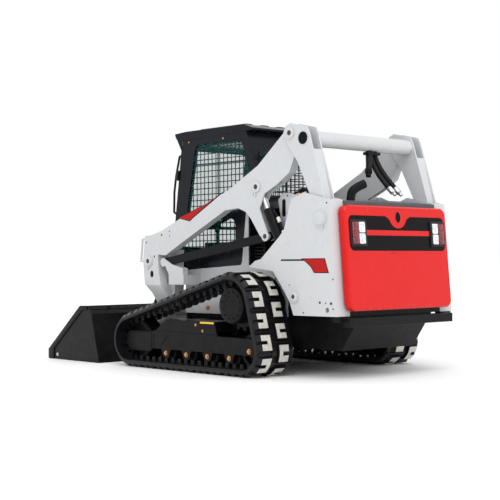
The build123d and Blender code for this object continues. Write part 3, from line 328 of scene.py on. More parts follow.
def finish(name, colour, rough, metallic=0.0, coat=0.0, shine=0.5, mottle=0.05, mottle_scale=6.0,
           grain=400.0, grain_depth=0.00005, grain_strength=0.2, dust=None, dust_height=0.9):
    """A painted, moulded or bare surface: uneven tone and gloss, a fine grain, dust towards the ground."""
    material, tree, shader, place = start_material(name)
    cloud = noise(tree, place, mottle_scale, 6.0)
    dark = tuple(c * (1 - mottle) for c in colour)
    light = tuple(min(1.0, c * (1 + mottle)) for c in colour)
    tone = blend_colour(tree, remap(tree, cloud, 0.3, 0.7, 0, 1), dark, light)
    if dust is not None:
        split = tree.nodes.new("ShaderNodeSeparateXYZ")
        tree.links.new(place, split.inputs["Vector"])
        low = remap(tree, split.outputs["Z"], 0.0, dust_height, 1, 0)
        patches = remap(tree, noise(tree, place, 14.0, 10.0, 0.65), 0.45, 0.72, 0, 1)
        tone = blend_colour(tree, times(tree, times(tree, low, patches), dust[3]), tone, dust[:3])
    tree.links.new(tone, shader.inputs["Base Color"])
    gloss = noise(tree, place, mottle_scale * 4, 8.0)
    gloss = remap(tree, gloss, 0.3, 0.7, rough * 0.85, min(1.0, rough * 1.2))
    tree.links.new(gloss, shader.inputs["Roughness"])
    shader.inputs["Metallic"].default_value = metallic
    shader.inputs["Specular IOR Level"].default_value = shine
    shader.inputs["Coat Weight"].default_value = coat
    shader.inputs["Coat Roughness"].default_value = 0.08
    add_bump(tree, shader, noise(tree, place, grain, 3.0), grain_strength, grain_depth)
    return material


def glass_material(name, colour, alpha):
    """Tinted glass, thin enough to see through, with faint smears."""
    material, tree, shader, place = start_material(name)
    smear = remap(tree, noise(tree, place, 9.0, 6.0), 0.35, 0.7, 0.03, 0.10)
    tree.links.new(smear, shader.inputs["Roughness"])
    shader.inputs["Base Color"].default_value = (*colour, 1)
    shader.inputs["IOR"].default_value = 1.45
    shader.inputs["Alpha"].default_value = alpha
    return material


def lens_material(name, colour, glow):
    """A ribbed lamp lens, its reflector's sparkle painted into its colour as lighter and darker cells."""
    material, tree, shader, place = start_material(name)
    cells = tree.nodes.new("ShaderNodeTexVoronoi")
    cells.inputs["Scale"].default_value = 70.0
    tree.links.new(place, cells.inputs["Vector"])
    # Painted highlight: lighter and darker cells stand in for the reflector's sparkle
    tone = blend_colour(tree, remap(tree, cells.outputs["Distance"], 0.1, 0.6, 0, 1),
                        tuple(min(1, c * 1.5 + 0.03) for c in colour), tuple(c * 0.6 for c in colour))
    tree.links.new(tone, shader.inputs["Base Color"])
    shader.inputs["Roughness"].default_value = 0.12
    shader.inputs["Coat Weight"].default_value = 0.3
    shader.inputs["Emission Color"].default_value = (*colour, 1)
    shader.inputs["Emission Strength"].default_value = glow
    add_bump(tree, shader, cells.outputs["Distance"], 0.3, 0.001)
    return material


def vinyl_material(name, colour):
    """Seat vinyl with a leather-like grain."""
    material, tree, shader, place = start_material(name)
    cells = tree.nodes.new("ShaderNodeTexVoronoi")
    cells.inputs["Scale"].default_value = 420.0
    tree.links.new(place, cells.inputs["Vector"])
    tone = blend_colour(tree, noise(tree, place, 10.0), colour, tuple(c * 1.8 for c in colour))
    tree.links.new(tone, shader.inputs["Base Color"])
    tree.links.new(remap(tree, noise(tree, place, 30.0), 0.3, 0.7, 0.45, 0.62), shader.inputs["Roughness"])
    add_bump(tree, shader, cells.outputs["Distance"], 0.35, 0.0006)
    return material


def make_materials(look):
    """Every finish by its short name."""
    white, red, black, cab = tuple(look.white), tuple(look.red), tuple(look.black), tuple(look.cab)
    dirt = (0.12, 0.105, 0.09, 0.09)
    return {
        "white": finish("white_panel_paint", white, 0.30, coat=0.15, shine=0.3, mottle=0.02, grain=260,
                        grain_depth=0.00004, dust=(0.48, 0.45, 0.41, 0.22), dust_height=0.7),
        "red": finish("red_gloss_paint", red, 0.24, coat=0.10, shine=0.22, mottle=0.03, grain=260,
                      grain_depth=0.00004),
        "decal_red": finish("red_film", tuple(c * 0.68 for c in red), 0.38, shine=0.15),
        # Black film for printed lines and screws, and for the painted shade in holes, slots and the cross
        # tube's end
        "decal_black": finish("black_film", (0.004, 0.004, 0.005), 0.45, shine=0.08, mottle=0.1),
        "black": finish("black_satin_paint", black, 0.36, shine=0.12, mottle=0.15, dust=dirt,
                        dust_height=0.7),
        "panel_black": finish("black_gloss_panel", (0.004, 0.003, 0.004), 0.30, shine=0.10, mottle=0.1),
        "cab_black": finish("cab_black_powder_coat", cab, 0.26, coat=0.04, shine=0.14, mottle=0.12,
                            grain=700, grain_strength=0.3),
        "bucket": finish("bucket_black_paint", (0.006, 0.006, 0.007), 0.30, shine=0.14, mottle=0.25,
                         dust=(0.06, 0.055, 0.05, 0.2), dust_height=0.6),
        "worn_steel": finish("worn_steel", (0.30, 0.29, 0.28), 0.38, metallic=1.0, mottle=0.2, grain=160,
                             grain_depth=0.0002, grain_strength=0.4),
        "chrome": finish("chrome_rod", (0.75, 0.75, 0.77), 0.09, metallic=1.0, mottle=0.02),
        "bolt": finish("yellow_zinc_bolt", (0.62, 0.33, 0.16), 0.32, metallic=0.75, mottle=0.2,
                       mottle_scale=60),
        "pin": finish("oiled_pin_end", (0.060, 0.040, 0.026), 0.40, metallic=0.5, mottle=0.3,
                      mottle_scale=60),
        "cast": finish("dark_casting", (0.006, 0.006, 0.007), 0.42, shine=0.12, mottle=0.25, grain=150,
                       grain_depth=0.0006, grain_strength=0.5, dust=dirt),
        "rubber": finish("track_rubber", (0.007, 0.007, 0.009), 0.34, shine=0.22, mottle=0.35,
                         mottle_scale=12, grain=120, grain_depth=0.0008, grain_strength=0.45,
                         dust=(0.04, 0.037, 0.032, 0.18)),
        "lug_face": finish("dusty_lug_face", tuple(look.lug), 0.62, mottle=0.16, mottle_scale=26, grain=90,
                           grain_depth=0.0012, grain_strength=0.5),
        "hose": finish("hose_rubber", (0.005, 0.005, 0.006), 0.45, shine=0.2, mottle=0.3, grain=900,
                       grain_depth=0.0004, grain_strength=0.6),
        "plastic": finish("moulded_black_plastic", (0.009, 0.009, 0.011), 0.42, shine=0.2, mottle=0.1,
                          grain=900, grain_depth=0.0002, grain_strength=0.4),
        "screen_grey": finish("grey_hood_plastic", (0.060, 0.068, 0.080), 0.45, mottle=0.1),
        "vinyl": vinyl_material("seat_vinyl", (0.014, 0.014, 0.016)),
        "yellow": finish("yellow_plate", (0.80, 0.50, 0.04), 0.4),
        "ivory": finish("ivory_fitting", (0.70, 0.68, 0.60), 0.35, mottle=0.08),
        "silver": finish("bright_fitting", (0.62, 0.62, 0.64), 0.22, metallic=1.0, mottle=0.1),
        "wire": finish("black_wire_mesh", (0.006, 0.022, 0.022), 0.45, shine=0.1, mottle=0.1),
        "glass": glass_material("green_tinted_glass", (0.010, 0.110, 0.105), 0.13),
        "red_lens": lens_material("red_lens", (0.20, 0.004, 0.008), 0.0),
        "clear_lens": lens_material("clear_lens", (0.80, 0.83, 0.87), 0.12),
    }


MATERIALS = {}


def link_piece(name, form, material, body, slot=None, smooth=30.0, outward=True):
    """A bmesh made an object at the origin, its faces turned out, shaded, painted and riding on its body."""
    mesh = bpy.data.meshes.new(name)
    form.normal_update()
    if outward:
        bmesh.ops.recalc_face_normals(form, faces=form.faces)
    form.to_mesh(mesh)
    form.free()
    materials = material if isinstance(material, list) else [material]
    for material_name in materials:
        mesh.materials.append(MATERIALS[material_name])
    mesh.shade_smooth()
    mesh.set_sharp_from_angle(angle=math.radians(smooth))
    piece = bpy.data.objects.new(name, mesh)
    bpy.context.scene.collection.objects.link(piece)
    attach(piece, body)
    slot or SLOTS[materials[0]]
    return piece


class Shapes(dict):
    """Shapes by the name of their piece, each begun empty when it is first asked for."""

    def __missing__(self, name):
        self[name] = bmesh.new()
        return self[name]

    def link(self, body, smooth=30.0, **materials):
        """Makes a piece of each named shape, in its material; returns the last one."""
        for name, material in materials.items():
            piece = link_piece(name, self.pop(name), material, body, smooth=smooth)
        return piece


def bevel_edges(form, edges, width):
    """Rounds edges with two segments; returns the new corners."""
    return bmesh.ops.bevel(form, geom=edges, offset=width, segments=2, profile=0.5, affect="EDGES",
                           material=-1)["verts"]


def add_block(form, centre, size, bevel=0.0):
    made = bmesh.ops.create_cube(form, size=1.0)["verts"]
    bmesh.ops.scale(form, vec=Vector(size), verts=made)
    bmesh.ops.translate(form, vec=Vector(centre), verts=made)
    if bevel:
        bevel_edges(form, list({e for v in made for e in v.link_edges}), bevel)


def turned(direction):
    """The turn that brings +Z to a direction."""
    return Vector(direction).to_track_quat("Z", "Y").to_matrix()


def add_rod(form, start, end, radius, sides=24, bevel=0.0, tip=None):
    start, end = Vector(start), Vector(end)
    place = turned(end - start).to_4x4()
    place.translation = (start + end) / 2
    made = bmesh.ops.create_cone(form, cap_ends=True, segments=sides, radius1=radius,
                                 radius2=radius if tip is None else tip, depth=(end - start).length,
                                 matrix=place)["verts"]
    if bevel:
        rim = [e for e in {e for v in made for e in v.link_edges}
               if any(len(f.verts) == sides for f in e.link_faces)]
        bevel_edges(form, rim, bevel)


def add_disc(form, place, low, high, radius, side, sides=24, bevel=0.0):
    """A round disc across one side of the machine at a place in XZ, between two distances from its middle."""
    x, z = place
    add_rod(form, (x, side * low, z), (x, side * high, z), radius, sides, bevel)


def add_plate(form, outline, low, high, place, bevel=0.0):
    """A flat outline in local x and y, raised from low to high along local z, then placed."""
    verts = [form.verts.new((x, y, low)) for x, y in outline]
    face = form.faces.new(verts)
    raised = bmesh.ops.extrude_face_region(form, geom=[face])["geom"]
    top = [g for g in raised if isinstance(g, bmesh.types.BMVert)]
    bmesh.ops.translate(form, vec=(0, 0, high - low), verts=top)
    made = verts + top
    faces = list({f for v in made for f in v.link_faces})
    bmesh.ops.recalc_face_normals(form, faces=faces)
    if bevel:
        edges = [e for e in {e for v in top for e in v.link_edges} if all(v in top for v in e.verts)]
        made = [v for v in made + bevel_edges(form, edges, bevel) if v.is_valid]
    bmesh.ops.transform(form, matrix=place, verts=list(set(made)))


def add_wheel(form, profile, centre, side):
    """A wheel turned about the line across the machine through its centre; profile is (radius, y) points."""
    x, z = centre
    points = [form.verts.new((x + radius, side * y, z)) for radius, y in profile]
    edges = [form.edges.new(pair) for pair in zip(points, points[1:])]
    bmesh.ops.spin(form, geom=points + edges, cent=(x, 0, z), axis=(0, 1, 0), angle=2 * math.pi, steps=48,
                   use_merge=True)
    near = [v for v in form.verts if abs(v.co.x - x) < 0.00001 and abs(v.co.z - z) < 0.00001]
    bmesh.ops.remove_doubles(form, verts=near, dist=0.0001)


def rounded(width, height, radius, centre=(0.0, 0.0), steps=6):
    """A rectangle's outline with round corners, counter-clockwise."""
    points = []
    for quarter, (sx, sy) in enumerate(((1, 1), (-1, 1), (-1, -1), (1, -1))):
        cx, cy = centre[0] + sx * (width / 2 - radius), centre[1] + sy * (height / 2 - radius)
        for step in range(steps + 1):
            angle = math.radians(90 * quarter + 90 * step / steps)
            points.append((cx + radius * math.cos(angle), cy + radius * math.sin(angle)))
    return points


def oval(width, height, centre, steps=28):
    """An ellipse's outline, counter-clockwise."""
    return [(centre[0] + width / 2 * math.cos(a), centre[1] + height / 2 * math.sin(a))
            for a in (2 * math.pi * i / steps for i in range(steps))]


def add_bolt(form, head, outward, size=0.012, washer=True):
    """A hexagon bolt head with a domed top on its washer."""
    head, outward = Vector(head), Vector(outward).normalized()
    if washer:
        add_rod(form, head, head + outward * size * 0.18, size * 1.45, 16)
    add_rod(form, head + outward * size * 0.15, head + outward * size * 0.85, size, 6, tip=size * 0.96)
    add_rod(form, head + outward * size * 0.8, head + outward * size * 0.95, size * 0.72, 10, tip=size * 0.5)


def add_side_bolt(form, place, face, side, size, washer=True):
    """A bolt on one side of the machine at a place in XZ."""
    x, z = place
    add_bolt(form, (x, side * face, z), (0, side, 0), size, washer)


def round_place(centre, radius, degrees):
    """A place on a circle in XZ."""
    angle = math.radians(degrees)
    return centre[0] + radius * math.cos(angle), centre[1] + radius * math.sin(angle)


def route_curve(name, points):
    """A smooth open spline with the route's points as its control points."""
    curve = bpy.data.curves.new(name, "CURVE")
    curve.dimensions = "3D"
    curve.resolution_u = 8
    spline = curve.splines.new("NURBS")
    spline.points.add(len(points) - 1)
    for point, place in zip(spline.points, points):
        point.co = (*place, 1.0)
    spline.order_u = 3
    spline.use_endpoint_u = True
    return curve


def smooth_path(points):
    """Close points along the smooth spline through a route."""
    curve = route_curve("route", points)
    carrier = bpy.data.objects.new("route", curve)
    line = bpy.data.meshes.new_from_object(carrier)
    path = [v.co.copy() for v in line.vertices]
    bpy.data.objects.remove(carrier)
    bpy.data.curves.remove(curve)
    bpy.data.meshes.remove(line)
    return path


def add_tube(form, path, radius, sides=12, open_end=False):
    """A round tube along close points, made by bridging a ring at each; returns its last ring's edges."""
    ring = None
    for index, point in enumerate(path):
        ahead = path[min(index + 1, len(path) - 1)] - path[max(index - 1, 0)]
        place = turned(ahead).to_4x4()
        place.translation = point
        capped = index == 0 or (index == len(path) - 1 and not open_end)
        fresh = bmesh.ops.create_circle(form, segments=sides, radius=radius, cap_ends=capped,
                                        matrix=place)["verts"]
        edges = [e for e in {e for v in fresh for e in v.link_edges} if all(v in fresh for v in e.verts)]
        if ring is not None:
            bmesh.ops.bridge_loops(form, edges=ring + edges)
        ring = edges
    return ring


def soften(node, material, body, width, segments=2, slot=None):
    """A CAD node's own shape with its doubles merged, its flats joined and its edges rounded."""
    form = bmesh.new()
    form.from_mesh(NODES[node].data)
    bmesh.ops.remove_doubles(form, verts=form.verts, dist=0.00002)
    bmesh.ops.dissolve_limit(form, angle_limit=math.radians(0.6), use_dissolve_boundaries=False,
                             verts=form.verts, edges=form.edges, delimit={"NORMAL"})
    piece = link_piece(f"dressed_{node}", form, material, body, slot, outward=False)
    rounding = piece.modifiers.new("round_edges", "BEVEL")
    rounding.width = width
    rounding.segments = segments
    rounding.limit_method = "ANGLE"
    rounding.angle_limit = math.radians(35)
    rounding.harden_normals = True
    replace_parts(piece, node)


def paint(node, material):
    """Gives a CAD node's own shape one material."""
    NODES[node].data.materials.clear()
    NODES[node].data.materials.append(MATERIALS[material])


class LoaderLook(bpy.types.PropertyGroup):
    """Colours and small sizes that a user would change."""

    white: FloatVectorProperty(name="White", description="Colour of the white panels", subtype="COLOR",
                               default=(0.55, 0.565, 0.58), min=0, max=1)
    red: FloatVectorProperty(name="Red", description="Colour of the tailgate", subtype="COLOR",
                             default=(0.62, 0.009, 0.008), min=0, max=1)
    black: FloatVectorProperty(name="Black", description="Colour of the frames", subtype="COLOR",
                               default=(0.005, 0.005, 0.006), min=0, max=1)
    cab: FloatVectorProperty(name="Cab", description="Colour of the cab's frame", subtype="COLOR",
                             default=(0.006, 0.007, 0.011), min=0, max=1)
    lug: FloatVectorProperty(name="Lug faces", description="Colour of the dusty faces of the track lugs",
                             subtype="COLOR", default=(0.56, 0.55, 0.50), min=0, max=1)
    edge: FloatProperty(name="Edge", description="Width of the rounded edges of plates", unit="LENGTH",
                        default=0.003, min=0.0005, max=0.01)
    mesh_pitch: FloatProperty(name="Mesh pitch", description="Spacing of the window screens' wires",
                              unit="LENGTH", default=0.050, min=0.02, max=0.1)
    wire: FloatProperty(name="Wire", description="Radius of the window screens' wires", unit="LENGTH",
                        default=0.0042, min=0.001, max=0.01)


class LOADER_OT_finishes(bpy.types.Operator):
    """Makes the paints, rubber, glass and metals."""

    bl_idname = "loader.finishes"
    bl_label = "Finishes"

    def execute(self, context):
        MATERIALS.update(make_materials(context.scene.loader_look))
        for node in NODES:
            paint(node, "black")
        return {"FINISHED"}


def camera_matrix():
    """The camera's place and turn, from its heading, pitch and roll."""
    level = math.cos(CAMERA_PITCH)
    ahead = Vector((math.cos(CAMERA_HEADING) * level, -math.sin(CAMERA_HEADING) * level,
                    math.sin(CAMERA_PITCH)))
    across = ahead.cross(Vector((0, 0, 1))).normalized()
    above = across.cross(ahead)
    cos_roll, sin_roll = math.cos(CAMERA_ROLL), math.sin(CAMERA_ROLL)
    right = across * cos_roll + above * sin_roll
    up = above * cos_roll - across * sin_roll
    matrix = Matrix((right, up, -ahead)).transposed().to_4x4()
    matrix.translation = Vector(CAMERA_PLACE)
    return matrix


class LOADER_OT_stage(bpy.types.Operator):
    """Makes the floor, the soft studio light and the camera at the photograph's angle."""

    bl_idname = "loader.stage"
    bl_label = "Stage"

    def execute(self, context):
        scene = context.scene
        scene.view_settings.view_transform = "Standard"
        form = bmesh.new()
        bmesh.ops.create_grid(form, x_segments=1, y_segments=1, size=FLOOR_HALF)
        mesh = bpy.data.meshes.new("studio_floor")
        form.to_mesh(mesh)
        form.free()
        pale = bpy.data.materials.new("pale_floor")
        pale.use_nodes = True
        pale.node_tree.nodes["Principled BSDF"].inputs["Base Color"].default_value = (0.94, 0.94, 0.94, 1)
        pale.node_tree.nodes["Principled BSDF"].inputs["Roughness"].default_value = 0.8
        mesh.materials.append(pale)
        floor = bpy.data.objects.new("studio_floor", mesh)
        scene.collection.objects.link(floor)

        world = bpy.data.worlds.new("studio")
        world.use_nodes = True
        world.node_tree.nodes["Background"].inputs["Color"].default_value = (1, 1, 1, 1)
        world.node_tree.nodes["Background"].inputs["Strength"].default_value = 1.0
        scene.world = world
        sun = bpy.data.lights.new("overhead", "SUN")
        sun.energy = 0.9
        sun.angle = math.radians(40)
        overhead = bpy.data.objects.new("overhead", sun)
        overhead.rotation_euler = Vector((0.45, -0.30, -0.85)).to_track_quat("-Z", "Y").to_euler()
        scene.collection.objects.link(overhead)
        for name, place, aim, size, power in SOFTBOXES:
            light = bpy.data.lights.new(name, "AREA")
            light.shape = "DISK"
            light.size = size
            light.energy = power
            lamp = bpy.data.objects.new(name, light)
            lamp.location = place
            lamp.rotation_euler = (Vector(aim) - Vector(place)).to_track_quat("-Z", "Y").to_euler()
            scene.collection.objects.link(lamp)

        lens = bpy.data.cameras.new("camera")
        lens.lens = CAMERA_LENS
        lens.sensor_width = 36.0
        camera = bpy.data.objects.new("camera", lens)
        camera.matrix_world = camera_matrix()
        scene.collection.objects.link(camera)
        scene.camera = camera
        return {"FINISHED"}


def add_hose_ends(shapes, index, points):
    """A hose's crimped end fitting and its collar under the cross tube."""
    crimp, collar = shapes[f"lift_hose_crimp_{index}"], shapes[f"lift_hose_collar_{index}"]
    along = (points[-1] - points[-2]).normalized()
    end = points[-1]
    add_rod(crimp, end - along * 0.050, end + along * 0.004, HOSE_RADIUS + 0.003, 20, bevel=0.002)
    add_rod(crimp, end + along * 0.002, end + along * 0.018, HOSE_RADIUS - 0.003, 6, bevel=0.001)
    add_rod(crimp, end + along * 0.016, end + along * 0.034, HOSE_RADIUS - 0.006, 16, bevel=0.001)
    top, bottom = points[0] + Vector((0, 0, 0.012)), points[0] - Vector((0, 0, 0.040))
    add_rod(collar, top, bottom, HOSE_RADIUS + 0.004, 20, bevel=0.002)


def fit_hose_elbow(shapes):
    """The short bent hose with its fitting, and the clamp that holds all three."""
    add_tube(shapes["lift_hose_elbow"], smooth_path([Vector(point) for point in HOSE_ELBOW]), 0.026, 20)
    ends = shapes["lift_hose_elbow_end"]
    add_rod(ends, (-1.398, -0.014, 1.628), (-1.404, -0.004, 1.592), 0.031, 6, bevel=0.002)
    add_rod(ends, (-1.404, -0.004, 1.592), (-1.409, 0.003, 1.566), 0.022, 18, bevel=0.002)
    add_block(ends, (-1.352, -0.105, 1.758), (0.060, 0.150, 0.024), 0.004)


class LOADER_OT_hoses(bpy.types.Operator):
    """Hangs the two sleeved hoses under the cross tube, with their crimped ends, and the elbow."""

    bl_idname = "loader.hoses"
    bl_label = "Hoses"

    def execute(self, context):
        shapes = Shapes()
        for index, route in enumerate(HOSE_ROUTES):
            points = [Vector(point) for point in route]
            curve = route_curve(f"lift_hose_{index}", points)
            curve.bevel_depth = HOSE_RADIUS
            curve.bevel_resolution = 4
            curve.use_fill_caps = True
            curve.materials.append(MATERIALS["hose"])
            hose = bpy.data.objects.new(f"lift_hose_{index}", curve)
            context.scene.collection.objects.link(hose)
            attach(hose, "rear_link")
            if index == 0:
                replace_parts(hose, "lift_hoses")
            add_hose_ends(shapes, index, points)
            pieces = [
                shapes.link("rear_link", **{f"lift_hose_crimp_{index}": "silver"}),
                shapes.link("rear_link", **{f"lift_hose_collar_{index}": "black"}),
            ]
            tuple(points[0])
            HOSE_LENGTHS[index]
        fit_hose_elbow(shapes)
        elbow = shapes.pop("lift_hose_elbow")
        link_piece("lift_hose_elbow", elbow, "hose", "rear_link", slot="rubber", smooth=60.0)
        shapes.link("rear_link", lift_hose_elbow_end="black")
        return {"FINISHED"}


def dress_towers(shapes, side):
    """Bosses, pin heads, screws and clamp bolts on one side's tower and side panel."""
    for pin, radius, low, high in TOWER_BOSSES:
        low, high = TOWER_FACE + low, TOWER_FACE + high
        add_disc(shapes["tower_bosses"], PINS[pin], low, high, radius, side, 40, 0.003)
    x, z = PINS["link_foot"]
    keeper = (x - 0.022, side * (TOWER_FACE + 0.006), z - 0.062)
    add_block(shapes["tower_bosses"], keeper, (0.020, 0.012, 0.036), 0.004)
    base = PINS["cylinder_base"]
    add_disc(shapes["tower_pin_ends"], base, TOWER_FACE, TOWER_FACE + 0.022, 0.017, side, 20, 0.003)
    for face, marks in ((TOWER_FACE, TOWER_MARKS), (PANEL_FACE, PANEL_MARKS)):
        for x, z, radius in marks:
            add_disc(shapes["panel_screws"], (x, z), face - 0.002, face + 0.0015, radius, side, 14)
    for place in PANEL_BOLTS:
        add_side_bolt(shapes["panel_clamp_bolts"], place, PANEL_FACE, side, 0.015)


def dress_stripes(shapes, side):
    """The thin line and the red block of one side's stripe."""
    place = side_matrix(TOWER_FACE, side)
    add_plate(shapes["side_stripe_edge"], STRIPE_LINE, -FILM / 2, FILM, place)
    add_plate(shapes["side_stripe_edge"], STRIPE_EDGE, -FILM / 2, FILM, place)
    add_plate(shapes["side_stripe"], STRIPE_BLOCK, -FILM / 2, 2 * FILM, place)


def dress_hood(shapes, side):
    """One side's hood panel, with black plates of painted shade in its long slot and its latch hole."""
    place = side_matrix(HOOD_FACE, side)
    add_plate(shapes["hood_side_panels"], HOOD_OUTLINE, 0.0, 0.0063, place, bevel=0.002)
    # Black plates of painted shade in the long slot and the latch hole
    add_plate(shapes["hood_side_slots"], rounded(0.038, 0.140, 0.019, (-0.995, 1.318)), 0.0, 0.0075, place)
    add_plate(shapes["hood_side_slots"], oval(0.014, 0.014, (-1.036, 1.414), 16), 0.0, 0.0078, place)


def fit_valve_pipes():
    """A row of bent pipes with their nuts beside the engine cover, on one cross pipe."""
    shapes = Shapes()
    for index, (x, y, top) in enumerate(VALVE_PIPES):
        bend = [Vector((x + 0.020, y, 1.330)), Vector((x + 0.004, y, top - 0.050)),
                Vector((x, y - 0.012, top)), Vector((x - 0.045, y - 0.030, top - 0.010))]
        add_tube(shapes["valve_pipes"], smooth_path(bend), 0.009 + 0.002 * (index % 2))
        low, high = (bend[1] + Vector((0, 0, rise)) for rise in (-0.016, 0.014))
        add_rod(shapes["valve_pipe_nuts"], low, high, 0.017, 6, bevel=0.002)
    add_rod(shapes["valve_pipes"], (-1.000, 0.400, 1.405), (-1.210, 0.400, 1.395), 0.016, 16, bevel=0.003)
    shapes.link("chassis", smooth=60.0, valve_pipes="hose")
    shapes.link("chassis", valve_pipe_nuts="bolt")


def bend_exhaust():
    """The exhaust elbow, hollow at its mouth."""
    elbow = bmesh.new()
    path = smooth_path([Vector(point) for point in EXHAUST_ROUTE])
    outer = add_tube(elbow, path, 0.034, 28, open_end=True)
    inner = add_tube(elbow, path[-12:], 0.029, 28, open_end=True)
    bmesh.ops.bridge_loops(elbow, edges=outer + inner)
    pipe = link_piece("exhaust_pipe", elbow, "black", "chassis", smooth=50.0)
    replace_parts(pipe, "exhaust_elbow")


class LOADER_OT_bodywork(bpy.types.Operator):
    """Paints the towers, frames, covers and bumper, with rounded edges, bosses and stripes."""

    bl_idname = "loader.bodywork"
    bl_label = "Bodywork"

    def execute(self, context):
        edge = context.scene.loader_look.edge
        for name, _ in SIDES:
            for node in (f"body_tower_{name}", f"control_link_bracket_{name}", f"side_panel_{name}"):
                soften(node, "white", "chassis", edge)
        soften("main_frame", "black", "chassis", edge)
        soften("rear_bumper", "black", "chassis", 0.008, 3)
        for node, material, width in (("engine_cover", "screen_grey", edge), ("bulkhead", "black", edge),
                                      ("side_grilles", "black", 0.001)):
            soften(node, material, "chassis", width)
        soften("engine_block", "cast", "chassis", 0.010, slot="cast")

        shapes = Shapes()
        for _, side in SIDES:
            dress_towers(shapes, side)
            dress_stripes(shapes, side)
            dress_hood(shapes, side)
        shapes.link("chassis", tower_bosses="white", tower_pin_ends="pin", panel_screws="decal_black",
                    panel_clamp_bolts="bolt", side_stripe_edge="decal_black", side_stripe="decal_red",
                    hood_side_panels="white", hood_side_slots="decal_black")
        fit_valve_pipes()
        bend_exhaust()
        return {"FINISHED"}


def run_angle(first, first_radius, second, second_radius):
    """Direction of the outward normal of the belt's run from one wheel to the next."""
    bearing = math.atan2(second[1] - first[1], second[0] - first[0])
    return bearing - math.acos((first_radius - second_radius) / math.dist(first, second))


def belt_path():
    """The belt's outer face: (length, centre, radius, start angle) arcs, (length, start, end, angle) runs."""
    path = []
    for index, (centre, radius) in enumerate(WHEELS):
        ahead, ahead_radius = WHEELS[(index + 1) % 3]
        behind, behind_radius = WHEELS[index - 1]
        arrive = run_angle(behind, behind_radius, centre, radius)
        leave = run_angle(centre, radius, ahead, ahead_radius)
        while leave < arrive:
            leave += 2 * math.pi
        path.append(((radius + BELT) * (leave - arrive), centre, radius + BELT, arrive))
        way = (math.cos(leave), math.sin(leave))
        start = [c + (radius + BELT) * w for c, w in zip(centre, way)]
        end = [c + (ahead_radius + BELT) * w for c, w in zip(ahead, way)]
        path.append((math.dist(start, end), start, end, leave))
    return path


BELT_PATH = belt_path()
BELT_LENGTH = sum(piece[0] for piece in BELT_PATH)


def belt_place(distance):
    """x, z and outward angle at a distance along the belt's outer face."""
    distance %= BELT_LENGTH
    for index, (length, first, second, angle) in enumerate(BELT_PATH):
        if distance <= length:
            if index % 2 == 0:
                turn = angle + distance / second
                return first[0] + second * math.cos(turn), first[1] + second * math.sin(turn), turn
            share = distance / length
            return first[0] + share * (second[0] - first[0]), first[1] + share * (second[1] - first[1]), angle
        distance -= length
    return belt_place(0.0)


def belt_stations():
    """Distances along the belt, close together round the wheels."""
    stations, start = [], 0.0
    for index, piece in enumerate(BELT_PATH):
        count = 16 if index % 2 == 0 else 12
        stations += [start + piece[0] * step / count for step in range(count)]
        start += piece[0]
    return stations


def add_belt(form, side):
    """The belt's section carried round its path."""
    rings = []
    for distance in belt_stations():
        x, z, angle = belt_place(distance)
        ring = [form.verts.new((x + w * math.cos(angle), side * y, z + w * math.sin(angle)))
                for y, w in BELT_SECTION]
        rings.append([form.edges.new((ring[i - 1], ring[i])) for i in range(len(ring))])
    for index, ring in enumerate(rings):
        bmesh.ops.bridge_loops(form, edges=rings[index - 1] + ring)


def flat_mesh(form, name):
    """A shape kept as a mesh, to be laid on the belt many times."""
    mesh = bpy.data.meshes.new(name)
    form.to_mesh(mesh)
    form.free()
    return mesh


def lug_mesh(closed, slot, open_end):
    """A C-shaped lug laid flat: x along the belt, y across, z out of it, its crown in the second material."""
    form = bmesh.new()
    rows = [[form.verts.new((x, y, LUG_ROOT)) for y in (closed, slot, open_end)]
            for x in (-LUG_HALF, -LUG_SLOT, LUG_SLOT, LUG_HALF)]
    faces = [form.faces.new((rows[i][j], rows[i + 1][j], rows[i + 1][j + 1], rows[i][j + 1]))
             for i, j in ((0, 0), (1, 0), (2, 0), (0, 1), (2, 1))]
    raised = bmesh.ops.extrude_face_region(form, geom=faces)["geom"]
    top = [g for g in raised if isinstance(g, bmesh.types.BMVert)]
    slope = math.copysign(0.032, closed - open_end)
    for vert in top:
        vert.co.z = LUG_HEIGHT
        if abs(vert.co.y - open_end) < 0.001:
            vert.co.y += slope
        if abs(vert.co.x) > 0.05:
            vert.co.x -= math.copysign(0.005, vert.co.x)
    crown = [g for g in raised if isinstance(g, bmesh.types.BMFace)]
    for face in crown:
        face.material_index = 1
    rim = [e for e in {e for f in crown for e in f.edges} if sum(f in crown for f in e.link_faces) == 1]
    bmesh.ops.bevel(form, geom=rim, offset=0.003, segments=1, profile=0.5, affect="EDGES", material=0)
    bmesh.ops.recalc_face_normals(form, faces=form.faces)
    return flat_mesh(form, "lug")


def block_mesh(length, low, high, bottom, top):
    """A small flat block of the belt's tread or guides, with sloping ends."""
    form = bmesh.new()
    add_block(form, (0, (low + high) / 2, (bottom + top) / 2), (length, high - low, abs(top - bottom)))
    outer = max(bottom, top, key=abs)
    for vert in form.verts:
        if abs(vert.co.z - outer) < 0.0001:
            vert.co.x *= 0.72
    return flat_mesh(form, "block")


def lay_on_belt(form, mesh, start, side):
    """Copies a flat mesh onto the belt, bent round its path."""
    count = len(form.verts)
    form.from_mesh(mesh)
    form.verts.ensure_lookup_table()
    for vert in form.verts[count:]:
        x, z, angle = belt_place(start + vert.co.x)
        reach = vert.co.z
        vert.co = (x + reach * math.cos(angle), side * vert.co.y, z + reach * math.sin(angle))


def tread_meshes():
    """The belt's lugs and blocks: flat mesh, the first one's place in lugs, and how many to a lug."""
    return (
        (lug_mesh(*OUTER_LUG), OUTER_PHASE, 1),
        (lug_mesh(*INNER_LUG), INNER_PHASE, 1),
        (block_mesh(*OUTER_RIDGE), OUTER_PHASE + 0.5, 1),
        (block_mesh(*INNER_RIDGE), INNER_PHASE + 0.5, 1),
        (block_mesh(*CLEAT), OUTER_PHASE, 2),
        *((block_mesh(*guide), 0.0, 2) for guide in GUIDES),
    )


